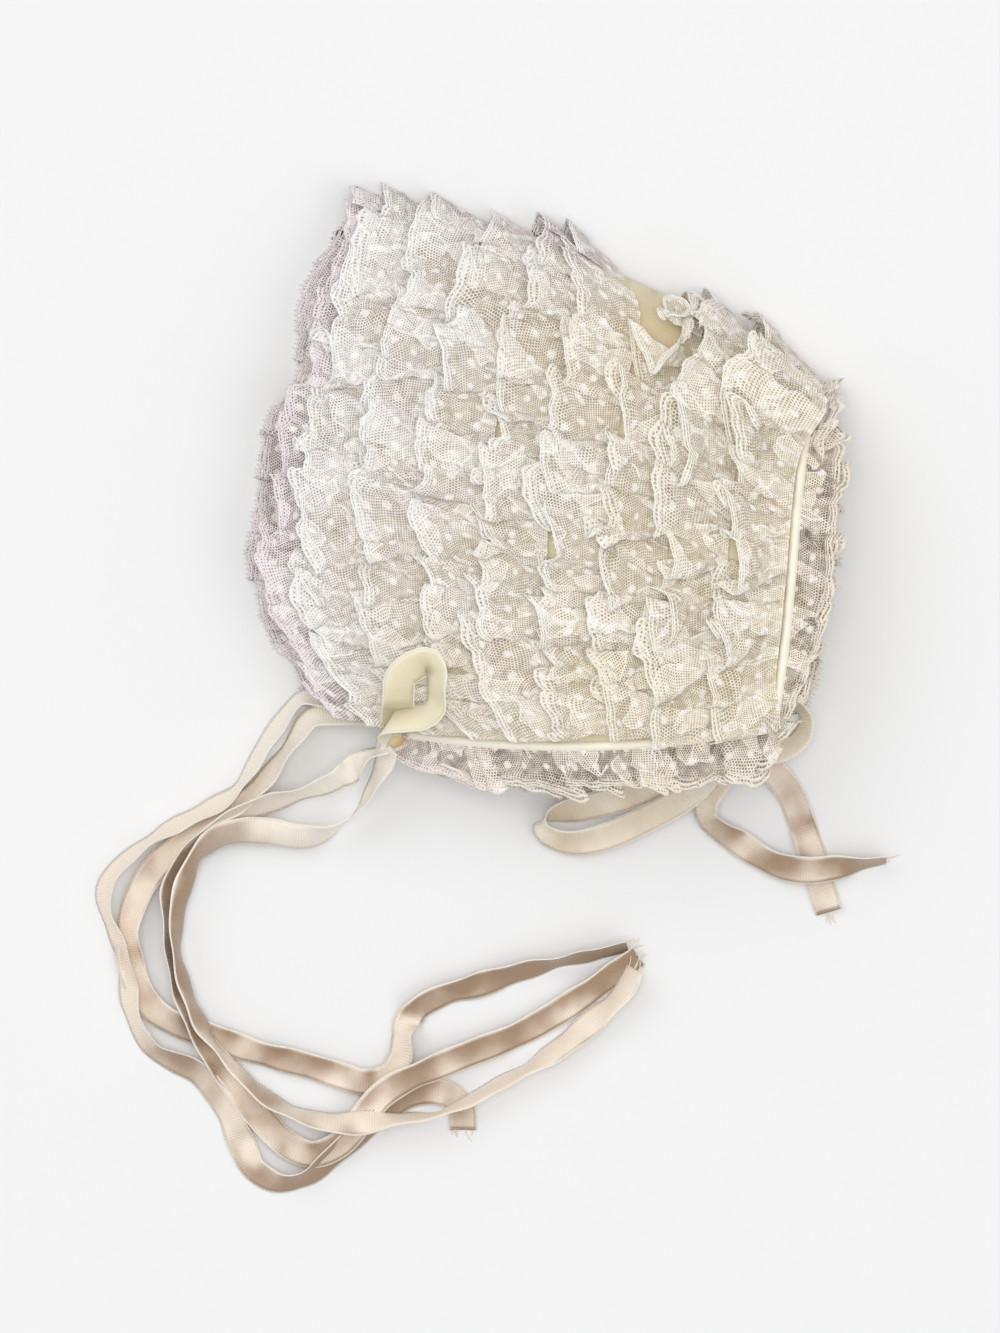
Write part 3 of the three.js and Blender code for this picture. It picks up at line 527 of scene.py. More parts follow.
# Free ribbons: the same routes as the solids, in millimetres from the knot that each leaves
CHIN_TIES = {"chin_tie_far_1": [
    (-1.3, 11.2, 3.8), (-10.3, 10.6, 3.8), (-19.9, 11.2, 3.6), (-28, 12.4, 2.4),
    (-34, 5.8, 0.9), (-39.1, -1.4, 0.6), (-43.9, -9.8, 0.5), (-49.6, -17, 0.5),
    (-58, -21.8, 0.5), (-66.1, -26, 0.5), (-73.3, -30.2, 0.5), (-79.3, -34.7, 0.5),
    (-84.7, -39.8, 0.5), (-87.4, -45.5, 0.5), (-86.8, -51.8, 0.5), (-84.1, -58.4, 0.5),
    (-81.7, -65, 0.5), (-80.2, -72.2, 0.5), (-79.6, -79.1, 0.5), (-77.5, -86, 0.5),
    (-73, -92.9, 0.5), (-66.4, -96.5, 0.5), (-59.5, -99.8, 0.5), (-53.5, -106.4, 0.5),
    (-49.3, -113.9, 0.5), (-46, -122, 0.5), (-42.1, -129.2, 0.5), (-34.3, -132.8, 0.5),
    (-26.2, -131, 0.5), (-19.3, -125, 0.5), (-12.1, -119, 0.5), (-4.9, -113, 0.5),
    (2.3, -107.6, 0.5), (10.1, -105.5, 0.5), (16.1, -106.7, 0.5), (19.7, -110.6, 0.5),
    (20, -117.2, 0.5),
], "chin_tie_far_2": [
    (-0.1, 8.2, 5.1), (-9.1, 7.6, 5.1), (-18.1, 7.6, 5.1), (-25.3, 6.4, 4.6),
    (-29.8, 0.7, 3.4), (-34, -5.3, 2.3), (-39.7, -12.8, 1.6), (-46.9, -19.1, 1.6),
    (-55.3, -24.2, 1.6), (-63.1, -29.3, 1.6), (-69.1, -35, 1.6), (-74.5, -41.6, 1.6),
    (-78.1, -48.8, 1.6), (-80.2, -56.6, 1.6), (-79.9, -65, 1.6), (-77.8, -73.1, 1.6),
    (-73.3, -80.3, 1.6), (-66.1, -85.1, 1.6), (-57.1, -88.4, 1.6), (-46.9, -92, 1.6),
    (-36.7, -95, 1.6), (-26.5, -97.7, 1.6), (-16.9, -100.7, 1.6), (-8.5, -102.8, 1.6),
    (-2.2, -101, 1.6), (1.4, -95.3, 1.6), (2, -88.1, 0.8), (5.9, -81.2, 0.5),
    (14.3, -76.4, 0.5), (23.3, -74, 0.5), (32.3, -71, 0.5), (41.3, -68.3, 0.5),
    (50.3, -66.2, 0.8), (59.9, -64.1, 1.6), (69.2, -61.7, 1.6),
], "chin_tie_near_1": [
    (-3.1, -1.4, 15.2), (-6.7, -4.1, 13), (-11.8, -7.7, 10), (-17.5, -11.6, 6.8),
    (-24.7, -14.9, 3.8), (-32.5, -17.3, 2.7), (-40.3, -19.7, 2.7), (-48.1, -23, 2.7),
    (-55, -27.2, 2.7), (-60.4, -32.6, 2.7), (-64.6, -38.6, 2.7), (-67.6, -45.5, 2.7),
    (-68.5, -53, 2.7), (-67.6, -60.8, 2.7), (-66.1, -68.6, 2.7), (-64, -76.4, 2.7),
    (-61, -84.2, 2.7), (-56.8, -92, 2.7), (-51.4, -99.2, 2.7), (-46, -106.7, 2.7),
    (-40, -114.2, 2.7), (-33.1, -121.1, 2.7), (-25, -124.4, 2.7), (-17.2, -121.4, 2.7),
    (-10.9, -114.5, 3.4), (-4.9, -107, 4.6), (2.3, -102.2, 4.8), (10.7, -98.6, 4.2),
    (19.7, -95, 2.8), (29.3, -91.4, 1.4), (38.9, -87.2, 0.5), (47.9, -82.1, 0.5),
    (56.3, -76.7, 0.5), (64.1, -71, 0.5), (72.5, -65, 0.5),
], "chin_tie_near_2": [
    (-1.6, -2, 17.4), (-3.1, -6.2, 15.6), (-5.8, -11.6, 12), (-9.1, -17.6, 8.0),
    (-13.3, -23.3, 4.6), (-19.9, -27.8, 3.8), (-28.3, -29.3, 3.8), (-37.3, -27.8, 3.8),
    (-46, -27.5, 3.8), (-53.8, -29.6, 3.8), (-59.2, -34.4, 3.8), (-62.5, -41, 3.8),
    (-64.6, -48.2, 3.8), (-65.5, -56.3, 3.8), (-65.2, -64.4, 3.8), (-63.4, -72.2, 3.8),
    (-60.7, -79.7, 3.8), (-57.1, -87.2, 3.8), (-52, -94.1, 3.8), (-46, -100.4, 3.8),
    (-39.7, -106.4, 3.8), (-31.9, -110.9, 3.8), (-22.9, -113.9, 3.8), (-13.9, -114.8, 3.8),
    (-4.9, -113.9, 3.8), (3.5, -113, 3.4), (11.9, -112.1, 2.6), (20.3, -108.8, 1.9),
    (28.7, -104, 1.3), (37.4, -99.5, 1.1), (46.1, -94.4, 1.3), (54.5, -88.1, 1.6),
    (62, -81.5, 2.1), (68.3, -74.9, 2.7), (71.3, -68.6, 2.9),
]}

NAPE_TAILS = {"nape_tail_1": [
    (0.6, -2.9, 7.4), (-1.3, -6.8, 5.0), (-4.8, -12.2, 3.3), (-7.3, -17, 2.6),
    (-6.9, -21.8, 2.0), (-3, -25.4, 1.8), (2.4, -28.7, 1.8), (8.7, -32.9, 2.2),
    (15.9, -36.2, 2.9), (23.7, -37.1, 3.3), (31.5, -36.2, 2.6), (39.3, -35, 1.0),
    (46.5, -33.8, 0.5),
], "nape_tail_2": [
    (6, -1.7, 4.4), (9.3, -4.4, 3.4), (12.6, -7.4, 2.3), (15.9, -11.3, 1.2),
    (18.9, -16.4, 0.5), (21, -22.1, 0.5), (23.1, -28.7, 0.5), (25.2, -35.3, 0.5),
    (27.3, -42.5, 0.5), (29.4, -49.7, 0.5),
]}

# How each ribbon turns about its own line, at points of its route: point, degrees
TURNS = {
    "chin_tie_far_1": [
        (0, 20), (2, 50), (4, 60), (8, 58), (12, 60), (17, 58), (20, 50), (23, 30), (25, 10),
        (27, 48), (30, 40), (32, 20), (34, 8), (36, 0)],
    "chin_tie_far_2": [
        (0, 15), (2, 40), (4, 55), (9, 50), (11, 15), (13, 30), (15, 15), (18, 22), (22, 22),
        (24, -20), (26, -40), (27, 30), (29, 30), (31, 50), (33, 72), (34, 74)],
    "chin_tie_near_1": [
        (0, 50), (1, 80), (3, -50), (5, -55), (8, -50), (10, -40), (12, -58), (16, -50), (18, -15),
        (20, -10), (22, 6), (25, 8), (27, 20), (29, 15), (32, 20), (34, 30)],
    "chin_tie_near_2": [
        (0, 50), (2, 60), (4, 80), (6, 160), (8, 165), (10, 130), (13, 118), (17, 112), (21, 116),
        (23, 150), (25, 110), (27, 106), (29, 122), (31, 145), (33, 140), (34, 130)],
    "nape_tail_1": [(0, 30), (2, 10), (4, 60), (6, 20), (9, 15), (10, 30), (11, 55), (12, 76)],
    "nape_tail_2": [(0, 20), (3, 5), (6, 3), (9, 4)],
}


def blend(before, after, low, high, t):
    return (high - t) / (high - low) * before + (t - low) / (high - low) * after


def smooth_route(route, step):
    """Evenly spaced points of a centripetal curve through a route, and each one's route position."""
    points = np.asarray(route, float)
    points = np.concatenate([[2 * points[0] - points[1]], points, [2 * points[-1] - points[-2]]])
    knots = np.concatenate([[0], np.cumsum(np.sqrt(np.linalg.norm(np.diff(points, axis=0), axis=1)))])
    fine, place = [], []
    for i in range(1, len(points) - 2):
        near, k = points[i - 1:i + 3], knots[i - 1:i + 3]
        t = np.linspace(k[1], k[2], 13)[:, None]
        first = [blend(near[j], near[j + 1], k[j], k[j + 1], t) for j in range(3)]
        second = [blend(first[j], first[j + 1], k[j], k[j + 2], t) for j in range(2)]
        fine.append(blend(*second, k[1], k[2], t)[:-1])
        place.append(i - 1 + np.linspace(0, 1, 13)[:-1])
    fine = np.concatenate([*fine, points[-2:-1]])
    place = np.concatenate([*place, [len(route) - 1]])
    far = ways_along(fine)
    wanted = np.linspace(0, far[-1], max(int(far[-1] / step), 8) + 1)
    even = np.stack([np.interp(wanted, far, fine[:, k]) for k in range(3)], -1)
    return even, np.interp(wanted, far, place), far[-1]


def tube(line, radius, sides, normals=None):
    """Points and faces of an open tube along a line."""
    tangent = unit(np.gradient(line, axis=0))
    if normals is None:
        normals = np.broadcast_to([0.31, 0.27, 0.91], line.shape)
    side = unit(np.cross(tangent, normals))
    other = np.cross(side, tangent)
    turn = np.linspace(0, 2 * np.pi, sides, endpoint=False)
    radius = np.broadcast_to(np.asarray(radius, float), len(line))[:, None, None]
    ring = side[:, None] * np.cos(turn)[None, :, None] + other[:, None] * np.sin(turn)[None, :, None]
    points = line[:, None] + ring * radius
    return points.reshape(-1, 3), grid_faces(len(line), sides, closed=True)


def stream(name, more=0):
    """Random numbers of a piece's own, the same in each run."""
    return np.random.default_rng(sum(map(ord, name)) + more)


ACROSS = np.linspace(-1, 1, 7)


def ribbon(name, line, widthwise, material, width=RIBBON_WIDTH, cup=0.6, start=0.0, ripple=0.3):
    """A tape along a line; widthwise are its width directions. It cups a little and ripples."""
    tangent = unit(np.gradient(line, axis=0))
    widthwise = unit(widthwise - tangent * (widthwise * tangent).sum(-1, keepdims=True))
    thick = np.cross(tangent, widthwise)
    along = start + ways_along(line)
    random = stream(name)
    phases = random.uniform(0, 2 * np.pi, 4)
    shape = cup * (ACROSS**2 - 0.4)[None, :] + ripple * (
        np.sin(along / 3.1 + phases[0])[:, None] * ACROSS * 0.6
        + np.sin(along / 5.3 + phases[1])[:, None] * (1 - ACROSS**2) * 0.8)
    middle = line[:, None] + widthwise[:, None] * (ACROSS * width / 2)[None, :, None] + (
        thick[:, None] * shape[..., None])
    middle[..., 2] = np.maximum(middle[..., 2], 0.2)
    half = thick[:, None] * RIBBON_THICKNESS / 2
    points, faces = closed_sheet(middle + half, middle - half)
    uv = np.stack(together(along[:, None], (ACROSS * width / 2)[None, :]), -1).reshape(-1, 2)
    piece = add_mesh(name, points, faces, material, np.concatenate([uv, uv]))
    rim = 2 * (len(line) + len(ACROSS)) - 4
    for polygon in piece.data.polygons[-rim:]:
        polygon.use_smooth = False
    return piece


# How far apart a free ribbon's points are
RIBBON_STEP = 1.6
# Small twists along a free ribbon: pitch in millimetres, most in degrees
TWISTS = [(34.0, 7.0), (15.0, 5.0)]


def turned_widths(line, degrees):
    """Width directions level and square to the line, turned about it."""
    tangent = unit(np.gradient(line, axis=0))
    level = unit(np.cross([0.0, 0.0, 1.0], tangent))
    turn = np.radians(degrees)[:, None]
    return level * np.cos(turn) + np.cross(tangent, level) * np.sin(turn)


def free_ribbon(name, route, knot_place, start=0.0):
    line, place, length = smooth_route(route, RIBBON_STEP)
    line[:, :2] += knot_place[:2]
    points, degrees = zip(*TURNS[name])
    degrees = np.interp(place, points, degrees)
    random = stream(name, 7)
    far = np.linspace(0, length, len(line))
    for pitch, most in TWISTS:
        degrees = degrees + most * np.sin(2 * np.pi * far / pitch + random.uniform(0, 6))
    line[:, 2] += np.clip(0.4 * (line[:, 2] - 0.8), 0, 1.3)
    # A turned ribbon stands on its lower edge
    line[:, 2] += 0.46 * RIBBON_WIDTH * np.abs(np.sin(np.radians(degrees)))
    widthwise = turned_widths(line, degrees)
    piece = ribbon(name + "_tape", line, widthwise, tape, start=start)
    far = np.linalg.norm(np.diff(line, axis=0), axis=1).sum()
    dress(piece, "ribbon", name)
    frayed_end(name, line, widthwise, piece)


def joined(meshes):
    """Points and faces of several meshes as one."""
    starts = np.cumsum([0] + [len(points) for points, _ in meshes])
    faces = [face for start, (_, some) in zip(starts, meshes) for face in (some + start).tolist()]
    return np.concatenate([points for points, _ in meshes]), faces


def frayed_end(name, line, widthwise, piece):
    """A few loose threads at a ribbon's cut end."""
    random = stream(name, 19)
    ahead = unit(line[-1] - line[-3])
    strands = []
    for side in random.uniform(-0.46, 0.46, 6):
        far = np.linspace(0, random.uniform(1.0, 5.0), 9)[:, None]
        bend = random.uniform(-0.14, 0.14)
        strand = line[-1] + widthwise[-1] * (side * RIBBON_WIDTH + bend * far**2) + ahead * (far - 0.4)
        strand[:, 2] = np.maximum(strand[:, 2] - 0.25 * far[:, 0], 0.25)
        strands.append(tube(strand, 0.13, 5))
    threads = add_mesh(name + "_loose_threads", *joined(strands), bow_tape_painted_lighter)
    threads.parent = piece


# Where the nape tails start on their ribbon, past the paler stretch near the bonnet
TAIL_START = 110.0
for name, route in CHIN_TIES.items():
    free_ribbon(name, route, KNOT_PLACE)
for name, route in NAPE_TAILS.items():
    free_ribbon(name, route, BOW_PLACE, start=TAIL_START)


# The hood: a silk shell with a soft thickness and small puckers along the rows' seams
SILK_SINK = 0.18
SILK_INSIDE = 1.4
PUCKER = 0.15
backs = np.linspace(0, 1, 81)
alongs = np.linspace(0, 1, 241)
spot, _, _, out = hood_frame(backs[None, :], alongs[:, None])
seam_pull = np.cos(2 * np.pi * ROW_COUNT * backs)[None, :] ** 8 * np.sin(alongs * 520)[:, None]
sink = np.where(out[..., 2] < 0, 0.0, SILK_SINK + PUCKER * seam_pull)
points, faces = closed_sheet(spot - out * sink[..., None], spot - out * SILK_INSIDE)
dress(add_mesh("hood_silk", points, faces, silk), "silk", "hood")

# The back panel joins the two back seams just inside the hood
PANEL_PLACE = 0.985
PANEL_TOP = 7 / 15
PANEL_TOP_UNDER = 6 / 15


def panel_point(height, across):
    height, across = together(height, across)
    above, _, _, above_out = hood_frame(PANEL_PLACE, height * PANEL_TOP)
    below, _, _, below_out = hood_frame(PANEL_PLACE, 1 - height * PANEL_TOP_UNDER)
    inset = CLOTH + 0.6
    upper, lower = above - above_out * inset, below - below_out * inset
    point = lower + (upper - lower) * across[..., None]
    point[..., 0] -= PANEL_TUCK * np.sin(np.pi * across) * (1 - height**2 * 0.6)
    return point


heights = np.linspace(0, 1, 61)
acrosses = np.linspace(0, 1, 61)
panel = panel_point(heights[:, None], acrosses[None, :])
gathers = 0.5 + 0.5 * np.cos(acrosses * 2 * np.pi * 11 + 3 * np.sin(heights * 5)[:, None])
panel[..., 0] -= gathers * 0.7 * (1 - heights[:, None]) ** 0.5
inner = panel.copy()
inner[..., 0] -= 0.8
points, faces = closed_sheet(panel, inner)
dress(add_mesh("back_panel_silk", points, faces, silk), "silk", "back_panel")


def piping(name, line):
    line, _, _ = smooth_route(line, 1.0)
    taper = np.minimum(1, np.minimum(np.arange(len(line)), np.arange(len(line))[::-1]) / 1.5 + 0.15)
    points, faces = tube(line, PIPING_RADIUS * taper, 14)
    dress(add_mesh(name + "_cord", points, faces, piping_silk), "piping", name)


NECK_START = 0.03
PIPING_END = 0.965
spot, to_back, _, out = hood_frame(1.0, round_at(np.linspace(0.006, 0.994, 27)))
piping("back_piping", spot - out * CLOTH / 2 + to_back * PIPING_SEAT)
spot, _, to_round, out = hood_frame(np.linspace(NECK_START, PIPING_END, 15), 0.0)
upper_neck = spot - out * CLOTH / 2 - to_round * PIPING_SEAT
spot, _, to_round, out = hood_frame(np.linspace(PIPING_END, NECK_START, 15), 1.0)
lower_neck = spot - out * CLOTH / 2 + to_round * PIPING_SEAT
down = panel_point(0.0, np.array([0.86, 0.7, 0.5, 0.3, 0.14])) - [CLOTH / 2, PIPING_SEAT, 0]
piping("neck_piping", np.concatenate([upper_neck, down, lower_neck]))


# Lace strips. Each is a long flat strip, gathered along its header into pleats that lean and flatten
def waves(random, count, low, high):
    """A smooth random function of two lengths in millimetres, from about -1 to 1."""
    turn = random.uniform(0, 2 * np.pi, count)
    pitch = random.uniform(low, high, count)
    phase = random.uniform(0, 2 * np.pi, count)

    def at(x, y):
        total = 0
        for k in range(count):
            total = total + np.sin(
                2 * np.pi * (x * np.cos(turn[k]) + y * np.sin(turn[k])) / pitch[k] + phase[k])
        return total * (1.6 / count)

    return at


# How far apart a strip's points are along its header, where it folds and where it lies flat
SAMPLE_FREE = 0.36
SAMPLE_FLAT = 0.9
# Its steps from the header to the free edge
OUT_STEPS = 16
# The scallops of the free edge
SCALLOP = 6.4
SCALLOP_DEPTH = 0.9
# The folds of a crushed strip, from wide to small: pitch, overlap as a share of it, height
FOLDS = [(14.0, 0.42, 1.0), (7.2, 0.40, 0.75), (4.2, 0.30, 0.45)]


def humps(places, at):
    """A sum of bumps: each is a place, a half width and a height."""
    return sum((high * np.exp(-(((at - place) / half) ** 2)) for place, half, high in places), 0 * at)


def lace(name, nodes, seed, long, wide, place, stand, freely, fold, zigzag, puff, crumple, lean, layer=1.0,
         profile=None, tucks=(), swells=(), pinches=(), materials=(net, gimp), slot="net_lace"):
    """A strip of lace of the width wide, gathered along a header of the length long.
    place(s, r, n, s0) gives points from the way along the header, out from it and up from the cloth,
    stand(s0, out) how high the strip stands and freely(s0) how free it is to fold. fold and zigzag are
    the folds' depth and slant, layer and puff how high they lie, lean how far they fall sideways, and
    profile is the share of the width. The strip is short at tucks, high at swells, creased at pinches."""
    random = np.random.default_rng(seed)
    coarse = np.arange(0, long, 1.0)
    density = np.where(freely(coarse) > 0.3, 1 / SAMPLE_FREE, 1 / SAMPLE_FLAT)
    reached = np.concatenate([[0], np.cumsum(density)])
    s0 = np.interp(np.arange(int(reached[-1])), reached[:-1], coarse)
    s0 = s0 * long / s0[-1]
    flat = 0 * s0
    swell = 1.0 + humps(swells, s0)
    tuck = humps(tucks, s0)
    free = freely(s0)
    share = flat + 1.0 if profile is None else profile(s0)
    out = np.linspace(0, 1, OUT_STEPS + 1)[:, None]
    grow = 0.4 + 0.6 * out
    sway, wander = (waves(random, 6, low, high) for low, high in ((18, 45), (9, 40)))
    shift_s, shift_r, shift_n = (waves(random, 8, low, high) for low, high in ((5, 16), (5, 16), (4, 11)))
    s = s0 + lean * out * sway(s0, flat) + crumple * grow * shift_s(s0, out * wide)
    r = out * wide * share * (0.94 + 0.08 * wander(s0, flat) - tuck * out)
    r = r + crumple * out * shift_r(s0 + 40, out * wide) * 1.2
    high = 0
    for pitch, over, rise in FOLDS:
        vary, size, turn, sides = (waves(random, 5, pitch * 1.5, pitch * 4) for _ in range(4))
        rate = 2 * np.pi / pitch * (1 + 0.3 * vary(s0, flat))
        phase = np.concatenate([[0], np.cumsum(rate[1:] * np.diff(s0))]) + random.uniform(0, 6)
        phase = phase + 1.7 * out * turn(s0, flat)
        side = np.tanh(3 * sides(s0, flat))
        depth = fold * over * pitch * np.clip(0.8 + 0.6 * size(s0, flat), 0.15, 1.4)
        depth = depth * (0.3 + 0.7 * np.sqrt(free))
        s = s - grow * depth * np.sin(phase)
        r = r - zigzag * depth * out**1.4 * np.sin(phase + 1.1 * side)
        high = high + rise * 0.5 * (layer * (1 - side * np.sin(phase)) + puff * (1 - np.cos(phase)) * out)
    creased = shift_n(s0 * 1.3 + 90, out * wide * 0.7)
    n = stand(s0, out) * swell + free * swell * (grow * high + crumple * 0.8 * np.abs(creased) * np.sqrt(out))
    for way, half, deep in pinches:
        off = s0 - way - 0.12 * wide * out * sway(way + flat, flat)
        pull = deep * np.exp(-((off / half) ** 2))
        n = n * (1 - 0.85 * pull)
        s = s - 0.45 * off * pull
    n = n * (1 - 0.6 * tuck) + tuck * puff * np.sin(np.pi * out)
    puckers = np.sin(2 * np.pi * s0 / 2.7 + 2 * shift_n(s0, flat)) + 1
    n = n + 0.4 * (0.25 + 0.75 * free) * puckers * (1 - out) ** 1.2
    points = place(s, r, n, s0)
    step = np.linalg.norm(np.diff(points[3:], axis=1), axis=-1).mean(0)
    u = np.concatenate([[0], np.cumsum(step)])
    flat_long = u[-1]
    full = wide * share
    limit = full - SCALLOP_DEPTH + SCALLOP_DEPTH * np.abs(np.sin(np.pi * u / SCALLOP))
    v = out * limit
    trim = (limit / full)[None, :]
    rows, columns = points.shape[:2]
    fit = out * trim * (rows - 1)
    low = np.minimum(fit.astype(int), rows - 2)
    part = (fit - low)[..., None]
    column = np.broadcast_to(np.arange(columns), fit.shape)
    points = points[low, column] * (1 - part) + points[low + 1, column] * part
    points[..., 2] = np.maximum(points[..., 2], 0.35)
    uv, edge = (np.stack(together(u[None, :], far), -1).reshape(-1, 2) for far in (v, limit[None, :] - v))
    piece = add_mesh(name, points.reshape(-1, 3), grid_faces(rows, columns), materials[0], uv, edge)
    dress(piece, slot, *nodes)
    threads = lace_threads(name + "_threads", random, points, u, v, limit, materials[1])
    threads.parent = piece
    flat_long * limit.mean() * MM * MM


# The cords along a strip's free edge: how far in from it, radius
EDGE_CORDS = [(0.25, 0.19), (1.35, 0.24), (2.7, 0.15)]
# The small loops beyond the edge
PICOT_PITCH = 1.3
PICOT_HALF = 0.19


def lace_threads(name, random, points, u, v, limit, material):
    """The corded edge of a strip and its picots."""
    rows, columns = points.shape[:2]
    across = np.gradient(points, axis=0)
    along = np.gradient(points, axis=1)
    normal = unit(np.cross(along, across))

    def at(field, where_u, where_v):
        column = np.interp(where_u, u, np.arange(columns))
        i = np.minimum(column.astype(int), columns - 2)
        fu = (column - i)[:, None]
        row = np.clip(where_v / np.interp(where_u, u, limit), 0, 1) * (rows - 1)
        j = np.minimum(row.astype(int), rows - 2)
        fv = (row - j)[:, None]
        return (field[j, i] * (1 - fu) + field[j, i + 1] * fu) * (1 - fv) + (
            field[j + 1, i] * (1 - fu) + field[j + 1, i + 1] * fu) * fv

    meshes = []
    steps_u = np.arange(0.3, u[-1] - 0.3, 0.9)
    ends = np.interp(steps_u, u, limit)
    for inset, radius in EDGE_CORDS:
        here = ends - inset + 0.14 * np.sin(steps_u * 2.1 + inset)
        meshes.append(tube(at(points, steps_u, here), radius, 4, at(normal, steps_u, here)))

    picot_u = np.arange(0.6, u[-1] - 0.6, PICOT_PITCH)
    picot_v = np.interp(picot_u, u, limit)
    base, way = at(points, picot_u, picot_v), unit(at(across, picot_u, picot_v))
    lean_way = unit(at(along, picot_u, picot_v))
    tip = base + way * random.uniform(0.7, 1.3, len(picot_u))[:, None] + (
        lean_way * random.uniform(-0.3, 0.3, len(picot_u))[:, None])
    rise = unit(np.cross(way, lean_way))
    sides = (lean_way * PICOT_HALF, -lean_way * PICOT_HALF, rise * PICOT_HALF)
    corners = np.stack([*(base + side for side in sides), tip], 1)
    spike = np.array([[0, 1, 3], [1, 2, 3], [2, 0, 3]])
    spikes = (spike[None] + 4 * np.arange(len(picot_u))[:, None, None]).reshape(-1, 3)
    threads, faces = joined([*meshes, (corners.reshape(-1, 3), spikes)])
    threads[:, 2] = np.maximum(threads[:, 2], 0.05)
    return add_mesh(name, threads, faces, material)


def header_line(back):
    """The way along the hood at one distance from the face, in millimetres, against the section's shares."""
    shares = np.linspace(0.006, 0.994, 801)
    return shares, ways_along(hood_point(back, round_at(shares)))


def way_at(back, height):
    """The way along a header to the place on the upper side at the height y."""
    shares, ways = header_line(back)
    upper = shares < FOLD_SHARE
    return np.interp(height, hood_point(back, round_at(shares[upper]))[:, 1], ways[upper])


def freedom(share):
    return 1 - smoothstep(share, FOLD_SHARE, FLAT_SHARE)


def depth_at(along):
    return np.linalg.norm(hood_point(1.0, along) - hood_point(0.0, along), axis=-1)


def above_surface(point, out, n):
    """Points n off the cloth, where what lies under the hood stays above the surface."""
    room = np.where(out[..., 2] < -1e-6, point[..., 2] / np.maximum(-out[..., 2], 1e-6), 1e6)
    return point + out * np.minimum(n, room - 0.12)[..., None]


def folding(shares, ways):
    """How free a strip is to fold, along its header."""
    return lambda s0: 0.06 + 0.94 * freedom(np.interp(s0, ways, shares))


ROW_WIDTH = 22.0
# By row: how full its pleats are, how far it stands, and how far it stands out over the top
ROWS = [
    (0.9, 0.8, 2.0), (0.9, 0.8, 2.0), (1.0, 0.9, 1.0), (1.0, 0.9, 3.5),
    (1.0, 0.9, 5.0), (1.1, 1.0, 0.0), (1.1, 1.0, 1.0), (1.3, 1.0, 2.0),
]
# By row: y in millimetres, half width, and how much; TOP stands for the place over the top
TOP = 1000.0
BARE = {6: [(TOP, 11.5, 0.8), (51.0, 6.5, 0.85)]}
PUFFED = {6: [(46.0, 12.0, 0.5)], 7: [(36.0, 14.0, 0.9)], 8: [(30.0, 16.0, 0.9)]}
SHIFTED = {5: [(TOP, 13.0, -12.0)], 8: [(34.0, 11.0, 5.5), (-62.0, 7.0, 3.5)]}
# How far the rows reach past the neck edge: the front ones, and those from LONG_ROW on
OVERHANG = (0.2, 3.4)
LONG_ROW = 7
# Creases that cross all the rows: y in millimetres
CROSSINGS = [37.0, 26.0, 2.4, -16.0, -38.0, -50.0]
# Seeds of the rows' folds and of their creases, before the row's number is added
FOLD_SEED = 10
CREASE_SEED = 200


def lace_row(number, full, rise, lobe):
    header = number / ROW_COUNT - 0.002
    shares, ways = header_line(header)
    over = OVERHANG[number >= LONG_ROW]
    random = np.random.default_rng(CREASE_SEED + number)
    crossings = [
        (way_at(header, y + random.uniform(-1.5, 1.5)), random.uniform(2.2, 3.4), random.uniform(0.65, 1.0))
        for y in CROSSINGS]

    def spots(table):
        return [(way_at(header, y), half, much) for y, half, much in table.get(number, [])]

    top_way = way_at(header, TOP)
    shifts = spots(SHIFTED)

    def place(s, r, n, s0):
        along = round_at(np.interp(s, ways, shares))
        depth = depth_at(along)
        shift = humps(shifts, s)
        back = header - (r * (1 + np.maximum(shift, 0) / ROW_WIDTH) - shift) / depth
        point, to_back, to_round, out = hood_frame(np.clip(back, 0, 1), along)
        point = point + to_back * ((back - np.clip(back, 0, 1)) * depth)[..., None]
        point = point - to_round * (over * (1 - smoothstep(s, 0, 6.0)))[..., None]
        return above_surface(point, out, n + 0.4 * np.maximum(shift, 0))

    def stand(s0, out):
        free = freedom(np.interp(s0, ways, shares))
        beyond = lobe * out**1.3 * np.exp(-(((s0 - top_way) / 8) ** 2))
        return 0.35 + free * 2.0 * rise * out**0.9 + (1 - free) * 0.75 * out + beyond

    lace(
        f"lace_row_{number}_net", (f"lace_row_{number}", f"lace_row_{number}_under"), FOLD_SEED + number,
        ways[-1], ROW_WIDTH, place, stand, folding(shares, ways), fold=full, zigzag=0.55, puff=1.6,
        crumple=1.4, lean=4.5, tucks=spots(BARE), swells=spots(PUFFED), pinches=crossings)


for number, row in enumerate(ROWS, 1):
    lace_row(number, *row)

# The lace that stands out from the edges
EDGING = {"materials": (edging_net, edging_gimp), "slot": "edging_lace"}
EDGE_WIDTH = 16.6
EDGE_HEM = 5.5
BACK_WIDTH = 14.4
NECK_WIDTH = 13.8
# How far off an edge the lace starts behind the piping
PIPED_START = 2.4
# How wide the edge laces are at places up the hood: y in millimetres, share of the full width
FACE_WIDTHS = [
    (-62, 1.12), (-54, 1.12), (-44, 0.96), (-30, 1.0), (-8, 0.98), (2, 0.84), (14, 0.82), (26, 0.78),
    (36, 0.72), (40, 0.46), (46, 0.5), (58, 0.66), (72, 0.7), (84, 0.68), (98, 0.62)]
BACK_WIDTHS = [
    (-64, 0.25), (-58, 0.34), (-50, 0.6), (-38, 0.74), (-24, 0.8), (-10, 0.94), (4, 0.92), (10, 0.9),
    (20, 0.98), (25, 0.8), (29, 0.56), (33, 0.42), (41, 0.34)]


